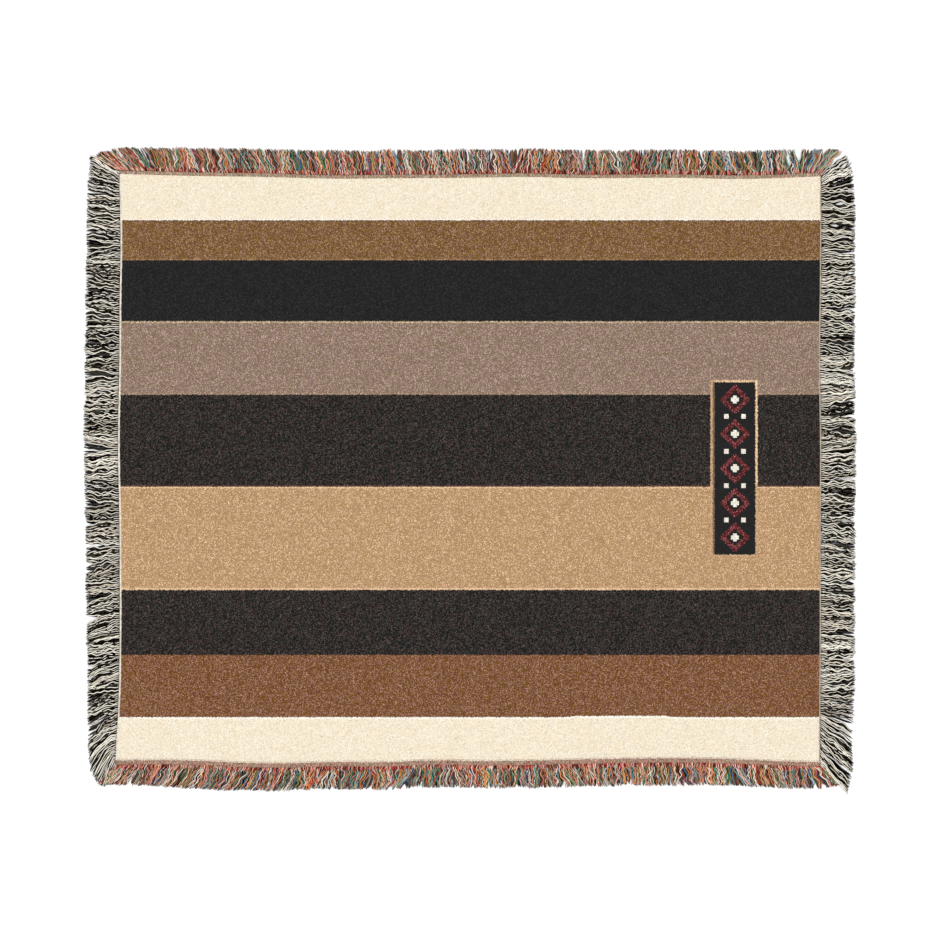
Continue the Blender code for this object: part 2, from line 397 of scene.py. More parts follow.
RIGHT_OPENINGS = (
    Opening(0.598, 0.045, 0.0060, 0.018),
    Opening(0.523, 0.036, 0.0043, 0.014),
    Opening(0.479, 0.026, 0.0041, 0.014),
    Opening(0.445, 0.049, 0.0032, 0.012),
    Opening(0.386, 0.056, 0.0040, 0.014),
    Opening(0.299, 0.041, 0.0028, 0.010),
    Opening(-0.510, 0.060, 0.0060, 0.016),
    Opening(-0.581, 0.018, 0.0030, 0.008),
)

# How one layer of strands is laid: how many for each strand of the upper layer, in how many steps, and how
# bright its painted light makes it, which darkens the lower layer as painted shade under the upper one.
# Radius runs from thin to thick, and height from low to high. Gather is how far a clump draws its tips
# together. Bend is the lean that neighbours share, clump the lean of a whole clump, and own each strand's.
# Uneven is how much their reach differs. Sway is the size of a clump's long wave, swing and wave are the size
# and length of each strand's own wave, and openings are the short ones besides those above.

Layer = namedtuple(
    "Layer",
    "share steps bright thin thick low high gather bend clump own uneven sway swing wave openings",
)

# The lower layer of each fringe has a low painted light, so that it shows as painted shade under the upper
# one, whose painted light lifts its yarn a little above its own colour.
WARP_LAYERS = (
    Layer(
        share=0.75, steps=8, bright=0.26, thin=0.0014, thick=0.0017, low=0.0016, high=0.0020,
        gather=0.06, bend=0.004, clump=0.003, own=0.002, uneven=0.0016,
        sway=0.0008, swing=0.0006, wave=0.018, openings=0,
    ),
    Layer(
        share=1.00, steps=14, bright=1.08, thin=0.0008, thick=0.0011, low=0.0032, high=0.0048,
        gather=0.12, bend=0.005, clump=0.006, own=0.005, uneven=0.0022,
        sway=0.0018, swing=0.0012, wave=0.014, openings=8,
    ),
)
WEFT_LAYERS = (
    Layer(
        share=0.85, steps=8, bright=0.06, thin=0.0016, thick=0.0019, low=0.0018, high=0.0022,
        gather=0.06, bend=0.004, clump=0.003, own=0.002, uneven=0.0016,
        sway=0.0010, swing=0.0006, wave=0.020, openings=0,
    ),
    Layer(
        share=1.00, steps=20, bright=1.10, thin=0.0009, thick=0.0012, low=0.0034, high=0.0052,
        gather=0.12, bend=0.006, clump=0.005, own=0.003, uneven=0.0022,
        sway=0.0018, swing=0.0011, wave=0.018, openings=6,
    ),
)

# Roots: how far they lie inside the strip, how many spacings each may lie off its even place, and how many
# more there are by each corner

ROOT_INSET = 0.0006
ROOT_JITTER = 0.3
CORNER_SHARE = 0.025
CORNER_REACH = 0.020

# Clumps and the leans that neighbours share, and the strands that stray from both

CLUMP_NARROW = 0.010
CLUMP_WIDE = 0.022
BEND_SPACING = 0.028
BEND_FADE = 0.035
STRAY_SHARE = 0.12
STRAY_LEAN = 0.015
STRAY_LIFT = 0.0010

# Waves: how their sizes and lengths spread, how long a clump's is against a strand's own, where they are
# fully grown, and how much and how fast a strand rises and falls in its own

WAVE_SIZES = (0.3, 1.5)
WAVE_LENGTHS = (0.75, 1.4)
SWAY_LENGTH = 2.1
WAVE_GROWTH = 0.14
LIFT_SHARE = 0.25
LIFT_RATE = 1.3

# Heights: the share of its layer's height that a strand has at its root, where it has risen to all of it, and
# the share by which its tip has settled

ROOT_SHARE = 0.55
RISE_SHARE = 0.12
SETTLE = 0.15
FLOOR_CLEARANCE = 0.0002

# Short openings: how far out they lie, their half width and their half length

SMALL_OPENING_OUT = (0.020, 0.060)
SMALL_OPENING_WIDTH = (0.0010, 0.0024)
SMALL_OPENING_LENGTH = (0.006, 0.012)

# Tubes: steps are closer by the root, and the profile gives shares of the radius at shares of the length

STEP_POWER = 1.2
TUBE_SIDES = 4
TUBE_PROFILE = ((0.0, 0.90), (0.15, 1.00), (0.87, 1.00), (1.0, 0.25))

# Yarn: where roots' own colours end, how long and strong a strand's second colour comes, how unevenly bright
# strands are, the brightness of the painted shade at their sides, how wide their lit ridge is, and the twist
# of their plies, with painted shade in its grooves

ROOT_COLOUR_REACH = (0.0025, 0.0105)
SECOND_YARN_LENGTH = 0.024
SECOND_YARN_SHARE = 0.38
YARN_LIGHT_NOISE = 0.12
WARP_SIDE_SHADE = 0.08
WEFT_SIDE_SHADE = 0.05
RIDGE_WIDTH = 0.45
PLY_PITCH = 0.0050
PLY_RELIEF = 0.0002
PLY_GROOVE_SHADE = 0.22

# How likely a weft strand is to turn from pale to dark or back, drawn anew for each few strands, and to be
# pale whatever its turn

TURN_CHANCE = (0.82, 1.00)
TURN_STRANDS = 6
PALE_CHANCE = 0.12

# How often each colour comes in the warp, at its roots and in the weft, where the first half are pale

Share = namedtuple("Share", "name share")

WARP_SHARES = (
    Share("red", 0.07),
    Share("dark_red", 0.06),
    Share("salmon", 0.09),
    Share("pink", 0.06),
    Share("orange", 0.10),
    Share("ochre", 0.07),
    Share("green", 0.08),
    Share("teal", 0.06),
    Share("blue", 0.04),
    Share("navy", 0.05),
    Share("blue_grey", 0.04),
    Share("pale", 0.12),
    Share("brown", 0.05),
    Share("olive", 0.05),
    Share("dark", 0.06),
)
ROOT_SHARES = (
    Share("red", 0.14),
    Share("dark_red", 0.26),
    Share("salmon", 0.20),
    Share("pink", 0.14),
    Share("brown", 0.08),
    Share("pale", 0.10),
    Share("dark", 0.08),
)
WEFT_SHARES = (
    Share("weft_cream", 0.36),
    Share("weft_oat", 0.14),
    Share("weft_black", 0.47),
    Share("weft_grey", 0.05),
)

RISE = np.array((0.0, 0.0, 1.0))
LEFTWARD = np.array((-1.0, 0.0))
RIGHTWARD = np.array((1.0, 0.0))
UPWARD = np.array((0.0, 1.0))
DOWNWARD = np.array((0.0, -1.0))

TOP = Side("top", "fringe_top", "top_heading", 11, RIGHTWARD, UPWARD, TOP_LAY, TOP_OPENINGS)
BOTTOM = Side(
    "bottom", "fringe_bottom", "bottom_heading", 12, RIGHTWARD, DOWNWARD, BOTTOM_LAY, BOTTOM_OPENINGS
)
LEFT = Side("left", "fringe_left", "left_selvedge", 22, UPWARD, LEFTWARD, LEFT_LAY, LEFT_OPENINGS)
RIGHT = Side("right", "fringe_right", "right_selvedge", 21, UPWARD, RIGHTWARD, RIGHT_LAY, RIGHT_OPENINGS)

# One kind of fringe: its name, its layers, how many strands its upper layer has, how the colours of its
# strands and of their roots are chosen, and its material

Fringe = namedtuple("Fringe", "kind layers strands choose choose_root material")

# What sets the strands of a layer apart: a column of values under each name, and for a strand's own wave and
# its clump's a column of sizes, one of lengths and one of starts

Strands = namedtuple(
    "Strands", "root middle gather lean reach power level radius own_wave clump_wave"
)


def linear_light(red, green, blue):
    """A display colour in linear light."""
    shown = np.array((red, green, blue)) / DISPLAY_WHITE
    above_knee = ((shown + DISPLAY_OFFSET) / (1.0 + DISPLAY_OFFSET)) ** DISPLAY_POWER
    return np.where(shown <= DISPLAY_KNEE, shown / DISPLAY_RATE, above_knee)


def own_colour(red, green, blue):
    """The colour of a finish in linear light, from how it looks on a display in the studio's light."""
    return tuple(linear_light(red, green, blue) / (LIGHT_LEVEL * RELIEF_SHARE))


def own_step(red, green, blue, step):
    """The change of a finish's colour in linear light that shows as an even step on a display.

    Above its knee a display shows linear light to a power, times one more than its offset, so a step
    there is the slope of that power times the change of light.
    """
    power = 1.0 / DISPLAY_POWER
    slope = (1.0 + DISPLAY_OFFSET) * power * linear_light(red, green, blue) ** (power - 1.0)
    return tuple(step / DISPLAY_WHITE / slope / (LIGHT_LEVEL * RELIEF_SHARE))


def colour_setting(name, description, red, green, blue):
    """A colour that a user may change, given as it looks on a display."""
    return FloatVectorProperty(
        name=name, description=description, size=3, subtype="COLOR", min=0.0, max=1.0,
        default=own_colour(red, green, blue),
    )


def length_setting(name, description, value):
    """A length that a user may change, in metres."""
    return FloatProperty(
        name=name, description=description, default=value, min=0.0, precision=LENGTH_DIGITS,
        subtype="DISTANCE", unit="LENGTH",
    )


class BlanketSizes(PropertyGroup):
    """Sizes of the blanket's sheets and yarns."""

    cloth_thickness: length_setting("Cloth Thickness", "Thickness of the striped cloth", 0.0025)
    strip_thickness: length_setting("Strip Thickness", "Thickness of the headings and selvedges", 0.0023)
    cloth_step: length_setting("Cloth Step", "Spacing of the cloth's grid", 0.0085)
    top_heading: length_setting("Top Heading", "Depth of the heading at the top", 0.0076)
    bottom_heading: length_setting("Bottom Heading", "Depth of the heading at the bottom", 0.0099)
    left_selvedge: length_setting("Left Selvedge", "Depth of the selvedge at the left", 0.0032)
    right_selvedge: length_setting("Right Selvedge", "Depth of the selvedge at the right", 0.0027)
    cell_width: length_setting("Cell Width", "Width of one cell of the weave", 0.00135)
    cell_height: length_setting("Cell Height", "Height of one cell of the weave", 0.00130)
    warp_strands: IntProperty(
        name="Warp Strands", description="Strands in the upper layer of each warp fringe",
        default=780, min=1,
    )
    weft_strands: IntProperty(
        name="Weft Strands", description="Strands in the upper layer of each weft fringe",
        default=590, min=1,
    )


class BlanketColours(PropertyGroup):
    """Colours of the blanket's stripes, woven patch and yarns."""

    cream: colour_setting("Cream", "First and last stripe", 253, 247, 231)
    white_row: colour_setting("White Row", "Row between cream and brown", 254, 248, 234)
    dark_brown_row: colour_setting("Dark Brown Row", "First row of the golden brown stripe", 124, 94, 66)
    golden_brown: colour_setting("Golden Brown", "Second stripe", 135, 103, 57)
    light_brown_row: colour_setting("Light Brown Row", "Last row of the golden brown stripe", 158, 124, 84)
    black: colour_setting("Black", "Third stripe and the patch's field", 34, 34, 34)
    pale_tan_row: colour_setting("Pale Tan Row", "Row between black and taupe", 190, 168, 136)
    taupe: colour_setting("Taupe", "Fourth stripe", 149, 129, 105)
    tan_row: colour_setting("Tan Row", "Last row of the taupe stripe", 164, 138, 112)
    near_black: colour_setting("Near Black", "Fifth and seventh stripe", 42, 46, 43)
    reddish_row: colour_setting("Reddish Row", "Last row of the upper near black stripe", 78, 60, 50)
    bright_tan_row: colour_setting("Bright Tan Row", "First and last row of the tan stripe", 228, 192, 152)
    tan: colour_setting("Tan", "Sixth stripe", 194, 158, 113)
    red_brown: colour_setting("Red Brown", "Eighth stripe", 134, 94, 50)
    patch_line: colour_setting("Patch Line", "Line round the woven patch", 236, 198, 157)
    patch_dull_line: colour_setting("Patch Dull Line", "The line at its left and over the tan", 200, 164, 127)
    patch_rim: colour_setting("Patch Rim", "Inner rim of the line at its left", 130, 104, 80)
    patch_red: colour_setting("Patch Red", "Lozenges of the woven patch", 106, 47, 48)
    patch_cream: colour_setting("Patch Cream", "Small figures of the woven patch", 240, 234, 218)
    left_selvedge: colour_setting("Left Selvedge", "Yarn of the left selvedge", 240, 231, 215)
    right_selvedge: colour_setting("Right Selvedge", "Yarn of the right selvedge", 190, 175, 156)
    red: colour_setting("Red", "Warp yarn", 204, 74, 56)
    dark_red: colour_setting("Dark Red", "Warp yarn", 140, 54, 50)
    salmon: colour_setting("Salmon", "Warp yarn", 246, 170, 140)
    pink: colour_setting("Pink", "Warp yarn", 234, 166, 162)
    orange: colour_setting("Orange", "Warp yarn", 236, 142, 78)
    ochre: colour_setting("Ochre", "Warp yarn", 214, 172, 112)
    green: colour_setting("Green", "Warp yarn", 70, 136, 92)
    teal: colour_setting("Teal", "Warp yarn", 92, 170, 152)
    blue: colour_setting("Blue", "Warp yarn", 76, 130, 172)
    navy: colour_setting("Navy", "Warp yarn", 54, 60, 84)
    blue_grey: colour_setting("Blue Grey", "Warp yarn", 168, 178, 178)
    pale: colour_setting("Pale", "Warp yarn", 255, 246, 230)
    brown: colour_setting("Brown", "Warp yarn", 162, 124, 94)
    olive: colour_setting("Olive", "Warp yarn", 154, 144, 92)
    dark: colour_setting("Dark", "Warp yarn", 44, 38, 34)
    weft_cream: colour_setting("Weft Cream", "Weft yarn", 255, 249, 234)
    weft_oat: colour_setting("Weft Oat", "Weft yarn", 225, 214, 196)
    weft_black: colour_setting("Weft Black", "Weft yarn", 20, 14, 6)
    weft_grey: colour_setting("Weft Grey", "Weft yarn", 76, 66, 52)


def feed(tree, socket, value):
    """Give a socket its value: a link where the value is another socket, and a constant otherwise."""
    if isinstance(value, NodeSocket):
        tree.links.new(value, socket)
    elif value is not None:
        socket.default_value = value


def add_node(tree, kind, inputs=None, **settings):
    """Add a node in the next free place of its tree, with its settings and named inputs."""
    node = tree.nodes.new(kind)
    column, row = divmod(len(tree.nodes) - 1, NODES_IN_COLUMN)
    node.location = (column * NODE_SPACING[0], row * NODE_SPACING[1])
    for name, value in settings.items():
        setattr(node, name, value)
    for name, value in (inputs or {}).items():
        feed(tree, node.inputs[name], value)
    return node


def calculate(tree, operation, *values, kind="ShaderNodeMath", **settings):
    """The result of a Math node, or of another kind of node that calculates from its inputs in order."""
    node = add_node(tree, kind, operation=operation, **settings)
    for socket, value in zip(node.inputs, values):
        feed(tree, socket, value)
    return node.outputs[0]


def calculate_each(tree, operation, *values):
    """The result of a Vector Math node, which calculates each part of a place or colour by itself."""
    return calculate(tree, operation, *values, kind="ShaderNodeVectorMath")


def object_place(tree):
    """Places on the whole blanket, in metres."""
    return add_node(tree, "ShaderNodeTexCoord").outputs["Object"]


def plan_place(tree):
    """Places on a piece's own flat map."""
    return add_node(tree, "ShaderNodeUVMap", uv_map="plan").outputs[0]


def parts_of(tree, place):
    """The X, Y and Z of a place."""
    return add_node(tree, "ShaderNodeSeparateXYZ", {"Vector": place}).outputs


def mix_colours(tree, share, first, second, blend="MIX"):
    """The result of mixing two colours."""
    node = add_node(tree, "ShaderNodeMix", data_type="RGBA", blend_type=blend, clamp_factor=True)
    for number, value in zip(MIX_INPUTS, (share, first, second)):
        if not isinstance(value, (NodeSocket, float)):
            value = (*value, 1.0)
        feed(tree, node.inputs[number], value)
    return node.outputs[MIX_OUTPUT]


def scale_colour(tree, colour, factor):
    """A colour made lighter or darker by a factor."""
    node = add_node(tree, "ShaderNodeVectorMath", operation="SCALE")
    feed(tree, node.inputs["Scale"], factor)
    feed(tree, node.inputs[0], colour)
    return node.outputs[0]


def new_group(name, inputs, outputs):
    """An empty node group with the inputs that it is given and the outputs that it wants.

    Each is a number, but for one named Vector, which is a place.
    """
    group = bpy.data.node_groups.new(name, "ShaderNodeTree")
    for direction, labels in (("INPUT", inputs), ("OUTPUT", outputs)):
        for label in labels:
            kind = "NodeSocketVector" if label == "Vector" else "NodeSocketFloat"
            group.interface.new_socket(name=label, in_out=direction, socket_type=kind)
    given = add_node(group, "NodeGroupInput").outputs
    wanted = add_node(group, "NodeGroupOutput").inputs
    return group, given, wanted


def use_group(tree, builder, **inputs):
    """Place a node group in a tree, building it if this is its first use, and return its outputs."""
    name = builder.__name__.replace("_", " ")
    group = bpy.data.node_groups.get(name) or builder(name)
    node = add_node(tree, "ShaderNodeGroup", node_tree=group)
    for label, value in inputs.items():
        feed(tree, node.inputs[label.replace("_", " ").title()], value)
    return node.outputs


def woven_cell(name):
    """Cells of a plain weave: chances that are the same all over a cell, its middle, and its relief.

    Every second row is shifted by half a cell. Light has a mean of 0 and a spread of 1, and now and then
    is much higher. The relief is a hump over the cell that falls to 0 at its border.
    """
    group, given, wanted = new_group(
        name,
        ("Vector", "Width", "Height", "Seed"),
        ("Chance", "Ragged", "Hue", "Light", "Across", "Up", "Relief"),
    )
    place = parts_of(group, given["Vector"])
    rows = calculate(group, "DIVIDE", place["Y"], given["Height"])
    row = calculate(group, "FLOOR", rows)
    shift = calculate(group, "FRACT", calculate(group, "MULTIPLY", row, 0.5))
    columns = calculate(group, "ADD", calculate(group, "DIVIDE", place["X"], given["Width"]), shift)
    column = calculate(group, "FLOOR", columns)
    address = add_node(
        group, "ShaderNodeCombineXYZ", {"X": column, "Y": row, "Z": given["Seed"]}
    ).outputs[0]
    chance = add_node(group, "ShaderNodeTexWhiteNoise", {"Vector": address}, noise_dimensions="3D")
    colours = add_node(group, "ShaderNodeSeparateColor", {"Color": chance.outputs["Color"]}).outputs
    raised = calculate(group, "POWER", colours["Blue"], LEVEL_POWER)
    level = calculate(group, "SUBTRACT", raised, LEVEL_MEAN)
    middle = calculate(group, "SUBTRACT", calculate(group, "ADD", column, 0.5), shift)
    humps = []
    for places in (columns, rows):
        off_middle = calculate(group, "SUBTRACT", calculate(group, "FRACT", places), 0.5)
        square = calculate(group, "MULTIPLY", off_middle, off_middle)
        humps.append(calculate(group, "MULTIPLY_ADD", square, -4.0, 1.0))
    row_middle = calculate(group, "ADD", row, 0.5)
    for label, value in (
        ("Chance", chance.outputs["Value"]),
        ("Ragged", colours["Red"]),
        ("Hue", colours["Green"]),
        ("Light", calculate(group, "DIVIDE", level, LEVEL_SPREAD)),
        ("Across", calculate(group, "MULTIPLY", middle, given["Width"])),
        ("Up", calculate(group, "MULTIPLY", row_middle, given["Height"])),
        ("Relief", calculate(group, "MULTIPLY", *humps)),
    ):
        feed(group, wanted[label], value)
    return group


def fibre_fuzz(name):
    """Fine uneven fibre: a noise from 0 to 1 at the size of loose fibres, and its roughness."""
    group, given, wanted = new_group(name, ("Vector", "Size"), ("Fuzz", "Roughness"))
    scale = calculate(group, "DIVIDE", 1.0, given["Size"])
    fuzz = add_node(
        group, "ShaderNodeTexNoise", {"Vector": given["Vector"], "Scale": scale, "Detail": FINE_DETAIL}
    ).outputs[0]
    smoothest, roughest = FIBRE_ROUGHNESS
    rough = add_node(
        group, "ShaderNodeMapRange", {"Value": fuzz, "To Min": smoothest, "To Max": roughest}
    )
    feed(group, wanted["Fuzz"], fuzz)
    feed(group, wanted["Roughness"], rough.outputs[0])
    return group


def plied_yarn(name):
    """Twist of a yarn of two plies, and the painted shade at its sides.

    The relief is the size of the sine of half a turn for each ply: once round, plus once along a pitch. The
    painted shade is 1 on the yarn's ridge, a quarter of the way round it, and falls to the side's shade a
    quarter of a turn away.
    """
    group, given, wanted = new_group(name, ("Vector", "Pitch", "Side"), ("Relief", "Shade"))
    place = parts_of(group, given["Vector"])
    wound = calculate(group, "DIVIDE", place["Y"], given["Pitch"])
    turns = calculate(group, "MULTIPLY", calculate(group, "ADD", place["X"], wound), math.tau)
    feed(group, wanted["Relief"], calculate(group, "ABSOLUTE", calculate(group, "SINE", turns)))
    quarters = calculate(group, "MULTIPLY_ADD", place["X"], 4.0, -1.0)
    shade = add_node(
        group, "ShaderNodeMapRange",
        {
            "Value": calculate(group, "ABSOLUTE", quarters), "From Min": RIDGE_WIDTH, "From Max": 1.0,
            "To Min": 1.0, "To Max": given["Side"],
        },
        interpolation_type="SMOOTHSTEP",
    )
    feed(group, wanted["Shade"], shade.outputs[0])
    return group


def new_material(name, gloss=CLOTH_GLOSS, sheen=CLOTH_SHEEN):
    """A cloth material, its node tree and its shader, nearly without gloss."""
    material = bpy.data.materials.new(name)
    material.use_nodes = True
    tree = material.node_tree
    shader = tree.nodes["Principled BSDF"]
    shader.location = SHADER_PLACE
    tree.nodes["Material Output"].location = OUTPUT_PLACE
    shader.inputs["Specular IOR Level"].default_value = gloss
    shader.inputs["Sheen Weight"].default_value = sheen
    shader.inputs["Sheen Roughness"].default_value = SHEEN_ROUGHNESS
    return material, tree, shader


def finish_cloth(tree, shader, colour, relief, depth, place, shade):
    """Feed a shader: its colour darkened by painted shade in the weave's gaps and by fuzz, its roughness and
    its bump.
    """
    fuzz = use_group(tree, fibre_fuzz, vector=place, size=FIBRE_SIZE)
    # Painted shade: the colour is darker where the relief falls away, in the gaps of the weave or the grooves
    # of a yarn's twist.
    painted_gap_shade = calculate(tree, "MULTIPLY_ADD", relief, shade, 1.0 - shade)
    uneven = calculate(tree, "MULTIPLY_ADD", fuzz["Fuzz"], 2.0 * FIBRE_SHADE, 1.0 - FIBRE_SHADE)
    light = calculate(tree, "MULTIPLY", painted_gap_shade, uneven)
    feed(tree, shader.inputs["Base Color"], scale_colour(tree, colour, light))
    feed(tree, shader.inputs["Roughness"], fuzz["Roughness"])
    height = calculate(tree, "MULTIPLY_ADD", fuzz["Fuzz"], FIBRE_RELIEF, relief)
    bump = add_node(
        tree, "ShaderNodeBump", {"Height": height, "Distance": depth, "Strength": 1.0}
    )
    feed(tree, shader.inputs["Normal"], bump.outputs[0])


def step_brightness(tree, colour, light, shown, step):
    """A colour with a cell's light added to it, in even steps on a display, and kept within bounds."""
    stepped = calculate_each(tree, "MULTIPLY_ADD", light, own_step(*shown, step), colour)
    below_white = calculate_each(tree, "MINIMUM", stepped, (BRIGHTEST,) * 3)
    return calculate_each(tree, "MAXIMUM", below_white, (0.0,) * 3)


def ragged_shift(tree, cell, reach):
    """A cell's own shift, of up to half a reach either way."""
    return calculate(tree, "MULTIPLY_ADD", cell["Ragged"], reach, -0.5 * reach)


def lay_teeth(tree, colour, tooth_colour, inward, chance, reach):
    """A colour with teeth of another over it: cells less far in than their own chance times a reach."""
    tooth = calculate(tree, "LESS_THAN", inward, calculate(tree, "MULTIPLY", chance, reach))
    return mix_colours(tree, tooth, colour, tooth_colour)


def tone_colour(tree, tone, ground, blotch, speckle, light):
    """One tone of the weave: between its ground and its fleck, and lighter or darker by light.

    How far it is flecked is a half, plus its patchy share of the blotch, plus the rest of FLECK_REACH of
    the cell's own speckle, both of which run about 0.
    """
    fleck = (tone.red, tone.green, tone.blue)
    patches = calculate(tree, "MULTIPLY_ADD", blotch, tone.patchy, 0.5)
    hue = calculate(
        tree, "MULTIPLY_ADD", speckle, FLECK_REACH - tone.patchy, patches, use_clamp=True
    )
    mixed = mix_colours(tree, hue, ground, own_colour(*fleck))
    return step_brightness(tree, mixed, light, fleck, tone.step)


def patch_figures(tree, colours, cell, across, rise, half_height):
    """Colours of the woven patch's dark field, with its lozenges and small squares.

    A stepped lozenge is where the steps across and the steps up from its middle add up to less than its
    reach. The lozenges repeat up the patch, with two small squares between each pair.
    """
    period = 2.0 * half_height / LOZENGES
    repeats = calculate(tree, "ADD", calculate(tree, "DIVIDE", rise, period), LOZENGES / 2.0)
    off_middle = calculate(tree, "SUBTRACT", calculate(tree, "FRACT", repeats), 0.5)
    from_middle = calculate(tree, "MULTIPLY", calculate(tree, "ABSOLUTE", off_middle), period)
    steps = []
    for distance in (across, from_middle):
        count = calculate(tree, "FLOOR", calculate(tree, "DIVIDE", distance, LOZENGE_STEP))
        steps.append(calculate(tree, "MULTIPLY", count, LOZENGE_STEP))
    ring = calculate(tree, "ADD", *steps)
    off_square = calculate(
        tree, "ABSOLUTE", calculate(tree, "SUBTRACT", across, CORNER_SQUARE_PLACE)
    )
    square = calculate(
        tree, "MULTIPLY", calculate(tree, "LESS_THAN", off_square, CORNER_SQUARE),
        calculate(tree, "GREATER_THAN", from_middle, period / 2.0 - CORNER_SQUARE),
    )
    up = calculate(tree, "ABSOLUTE", rise)
    clear = calculate(tree, "LESS_THAN", up, half_height - 2.0 * CORNER_SQUARE)
    square = calculate(tree, "MULTIPLY", square, clear)
    field = tuple(colours.black)
    cream = tuple(colours.patch_cream)
    red = step_brightness(tree, tuple(colours.patch_red), cell["Light"], PATCH_RED_SHOWN, RED_STEP)
    figure = field
    for reach, tone in ((LOZENGE_REACH, red), (LOZENGE_FIELD, field), (LOZENGE_HEART, cream)):
        figure = mix_colours(tree, calculate(tree, "LESS_THAN", ring, reach), figure, tone)
    return mix_colours(tree, square, figure, cream)


def add_patch(tree, cloth, colours, cell):
    """Lay the woven patch over the cloth's colour, on the weave's own cells.

    The line round it is duller over the tan stripe and at its left, has a rim inside there, and its edges
    are ragged.
    """
    half_width = (PATCH_RIGHT - PATCH_LEFT) / 2.0
    half_height = (PATCH_TOP - PATCH_BOTTOM) / 2.0
    offset = calculate(tree, "SUBTRACT", cell["Across"], (PATCH_LEFT + PATCH_RIGHT) / 2.0)
    rise = calculate(tree, "SUBTRACT", cell["Up"], (PATCH_TOP + PATCH_BOTTOM) / 2.0)
    across = calculate(tree, "ABSOLUTE", offset)
    ragged = ragged_shift(tree, cell, LINE_RAGGED)
    ragged_offset = calculate(tree, "ADD", offset, ragged)
    ragged_up = calculate(tree, "ADD", calculate(tree, "ABSOLUTE", rise), ragged)

    def inside(left_line, right_line, end_line):
        in_width = calculate(
            tree, "MULTIPLY", calculate(tree, "LESS_THAN", ragged_offset, half_width + right_line),
            calculate(tree, "GREATER_THAN", ragged_offset, -half_width - left_line),
        )
        in_height = calculate(tree, "LESS_THAN", ragged_up, half_height + end_line)
        return calculate(tree, "MULTIPLY", in_width, in_height)

    lines = colours.patch_line
    for duller in (
        calculate(tree, "LESS_THAN", cell["Up"], LINE_ON_TAN),
        calculate(tree, "LESS_THAN", offset, -half_width),
    ):
        lines = mix_colours(tree, duller, lines, colours.patch_dull_line)
    lines = mix_colours(tree, inside(LEFT_RIM, 0.0, 0.0), lines, colours.patch_rim)
    figures = patch_figures(tree, colours, cell, across, rise, half_height)
    patch = mix_colours(tree, inside(0.0, 0.0, 0.0), lines, figures)
    uneven = calculate(tree, "MULTIPLY_ADD", cell["Light"], PATCH_LIGHT, 1.0)
    patch = scale_colour(tree, patch, uneven)
    return mix_colours(tree, inside(LEFT_LINE, RIGHT_LINE, END_LINE), cloth, patch)


def cloth_material(sizes, colours):
    """The striped cloth: stripes of flecked tones, their edges ragged by a row, and the woven patch."""
    material, tree, shader = new_material("striped cloth")
    place = object_place(tree)
    cell = use_group(
        tree, woven_cell, vector=place, width=sizes.cell_width, height=sizes.cell_height, seed=CLOTH_SEED
    )
    patches = add_node(
        tree, "ShaderNodeTexNoise", {"Vector": place, "Scale": 1.0 / HUE_PATCH, "Detail": FINE_DETAIL}
    ).outputs[0]
    blotch = calculate(tree, "MULTIPLY_ADD", patches, HUE_GAIN, -0.5 * HUE_GAIN)
    speckle = calculate(tree, "SUBTRACT", cell["Hue"], 0.5)
    tones = {
        tone.name: tone_colour(
            tree, tone, tuple(getattr(colours, tone.name)), blotch, speckle, cell["Light"]
        )
        for tone in TONES
    }
    height = calculate(tree, "ADD", cell["Up"], ragged_shift(tree, cell, RAGGED_EDGE))
    gives_out = calculate(tree, "MULTIPLY", *(
        add_node(tree, "ShaderNodeMapRange", {
            "Value": cell["Across"], "From Min": end - ramp, "From Max": end + ramp,
        }).outputs[0]
        for end, ramp in ((SHORT_ROW_START, SHORT_ROW_RAMP), (SHORT_ROW_END, -SHORT_ROW_RAMP))
    ))
    low = calculate(tree, "LESS_THAN", height, SHORT_ROW_ABOVE)
    short = calculate(tree, "MULTIPLY", gives_out, low)
    height = calculate(tree, "MULTIPLY_ADD", short, -SHORT_ROW_HEIGHT, height)
    colour = tones[BANDS[0].tone]
    for above, band in zip(BANDS, BANDS[1:]):
        below = calculate(tree, "LESS_THAN", height, above.bottom)
        colour = mix_colours(tree, below, colour, tones[band.tone])
    colour = add_patch(tree, colour, colours, cell)
    from_corner = parts_of(tree, plan_place(tree))
    for inward, reach, tooth_colour in (
        (from_corner["X"], SELVEDGE_TOOTH, colours.left_selvedge),
        (from_corner["Y"], HEADING_TOOTH, own_colour(*HEADING_TOOTH_COLOUR)),
    ):
        colour = lay_teeth(tree, colour, tooth_colour, inward, cell["Chance"], reach)
    finish_cloth(tree, shader, colour, cell["Relief"], WEAVE_RELIEF, place, WEAVE_GAP_SHADE)
    return material


def heading_material(name, sizes, tint, tooth_reach, tooth_colour):
    """A heading: short upright ticks of many-coloured warp, with teeth of the cloth's yarn reaching in, and
    painted shade in the gaps between its cells.
    """
    material, tree, shader = new_material(name)
    place = plan_place(tree)
    cell = use_group(
        tree, woven_cell, vector=place, width=sizes.cell_width, height=HEADING_ROWS * sizes.cell_height,
        seed=HEADING_SEED,
    )
    ramp = add_node(tree, "ShaderNodeValToRGB", {"Fac": cell["Chance"]})
    ramp.color_ramp.interpolation = "CONSTANT"
    reached = 0.0
    for number, tone in enumerate(HEADING_TONES):
        stops = ramp.color_ramp.elements
        stop = stops[number] if number < 2 else stops.new(reached)
        stop.position = reached
        stop.color = (*own_colour(tone.red, tone.green, tone.blue), 1.0)
        reached += tone.share
    colour = mix_colours(tree, 1.0, ramp.outputs[0], tint, "MULTIPLY")
    inward = parts_of(tree, place)["Y"]
    colour = lay_teeth(tree, colour, tooth_colour, inward, cell["Ragged"], tooth_reach)
    finish_cloth(tree, shader, colour, cell["Relief"], WEAVE_RELIEF, object_place(tree), HEADING_GAP_SHADE)
    return material


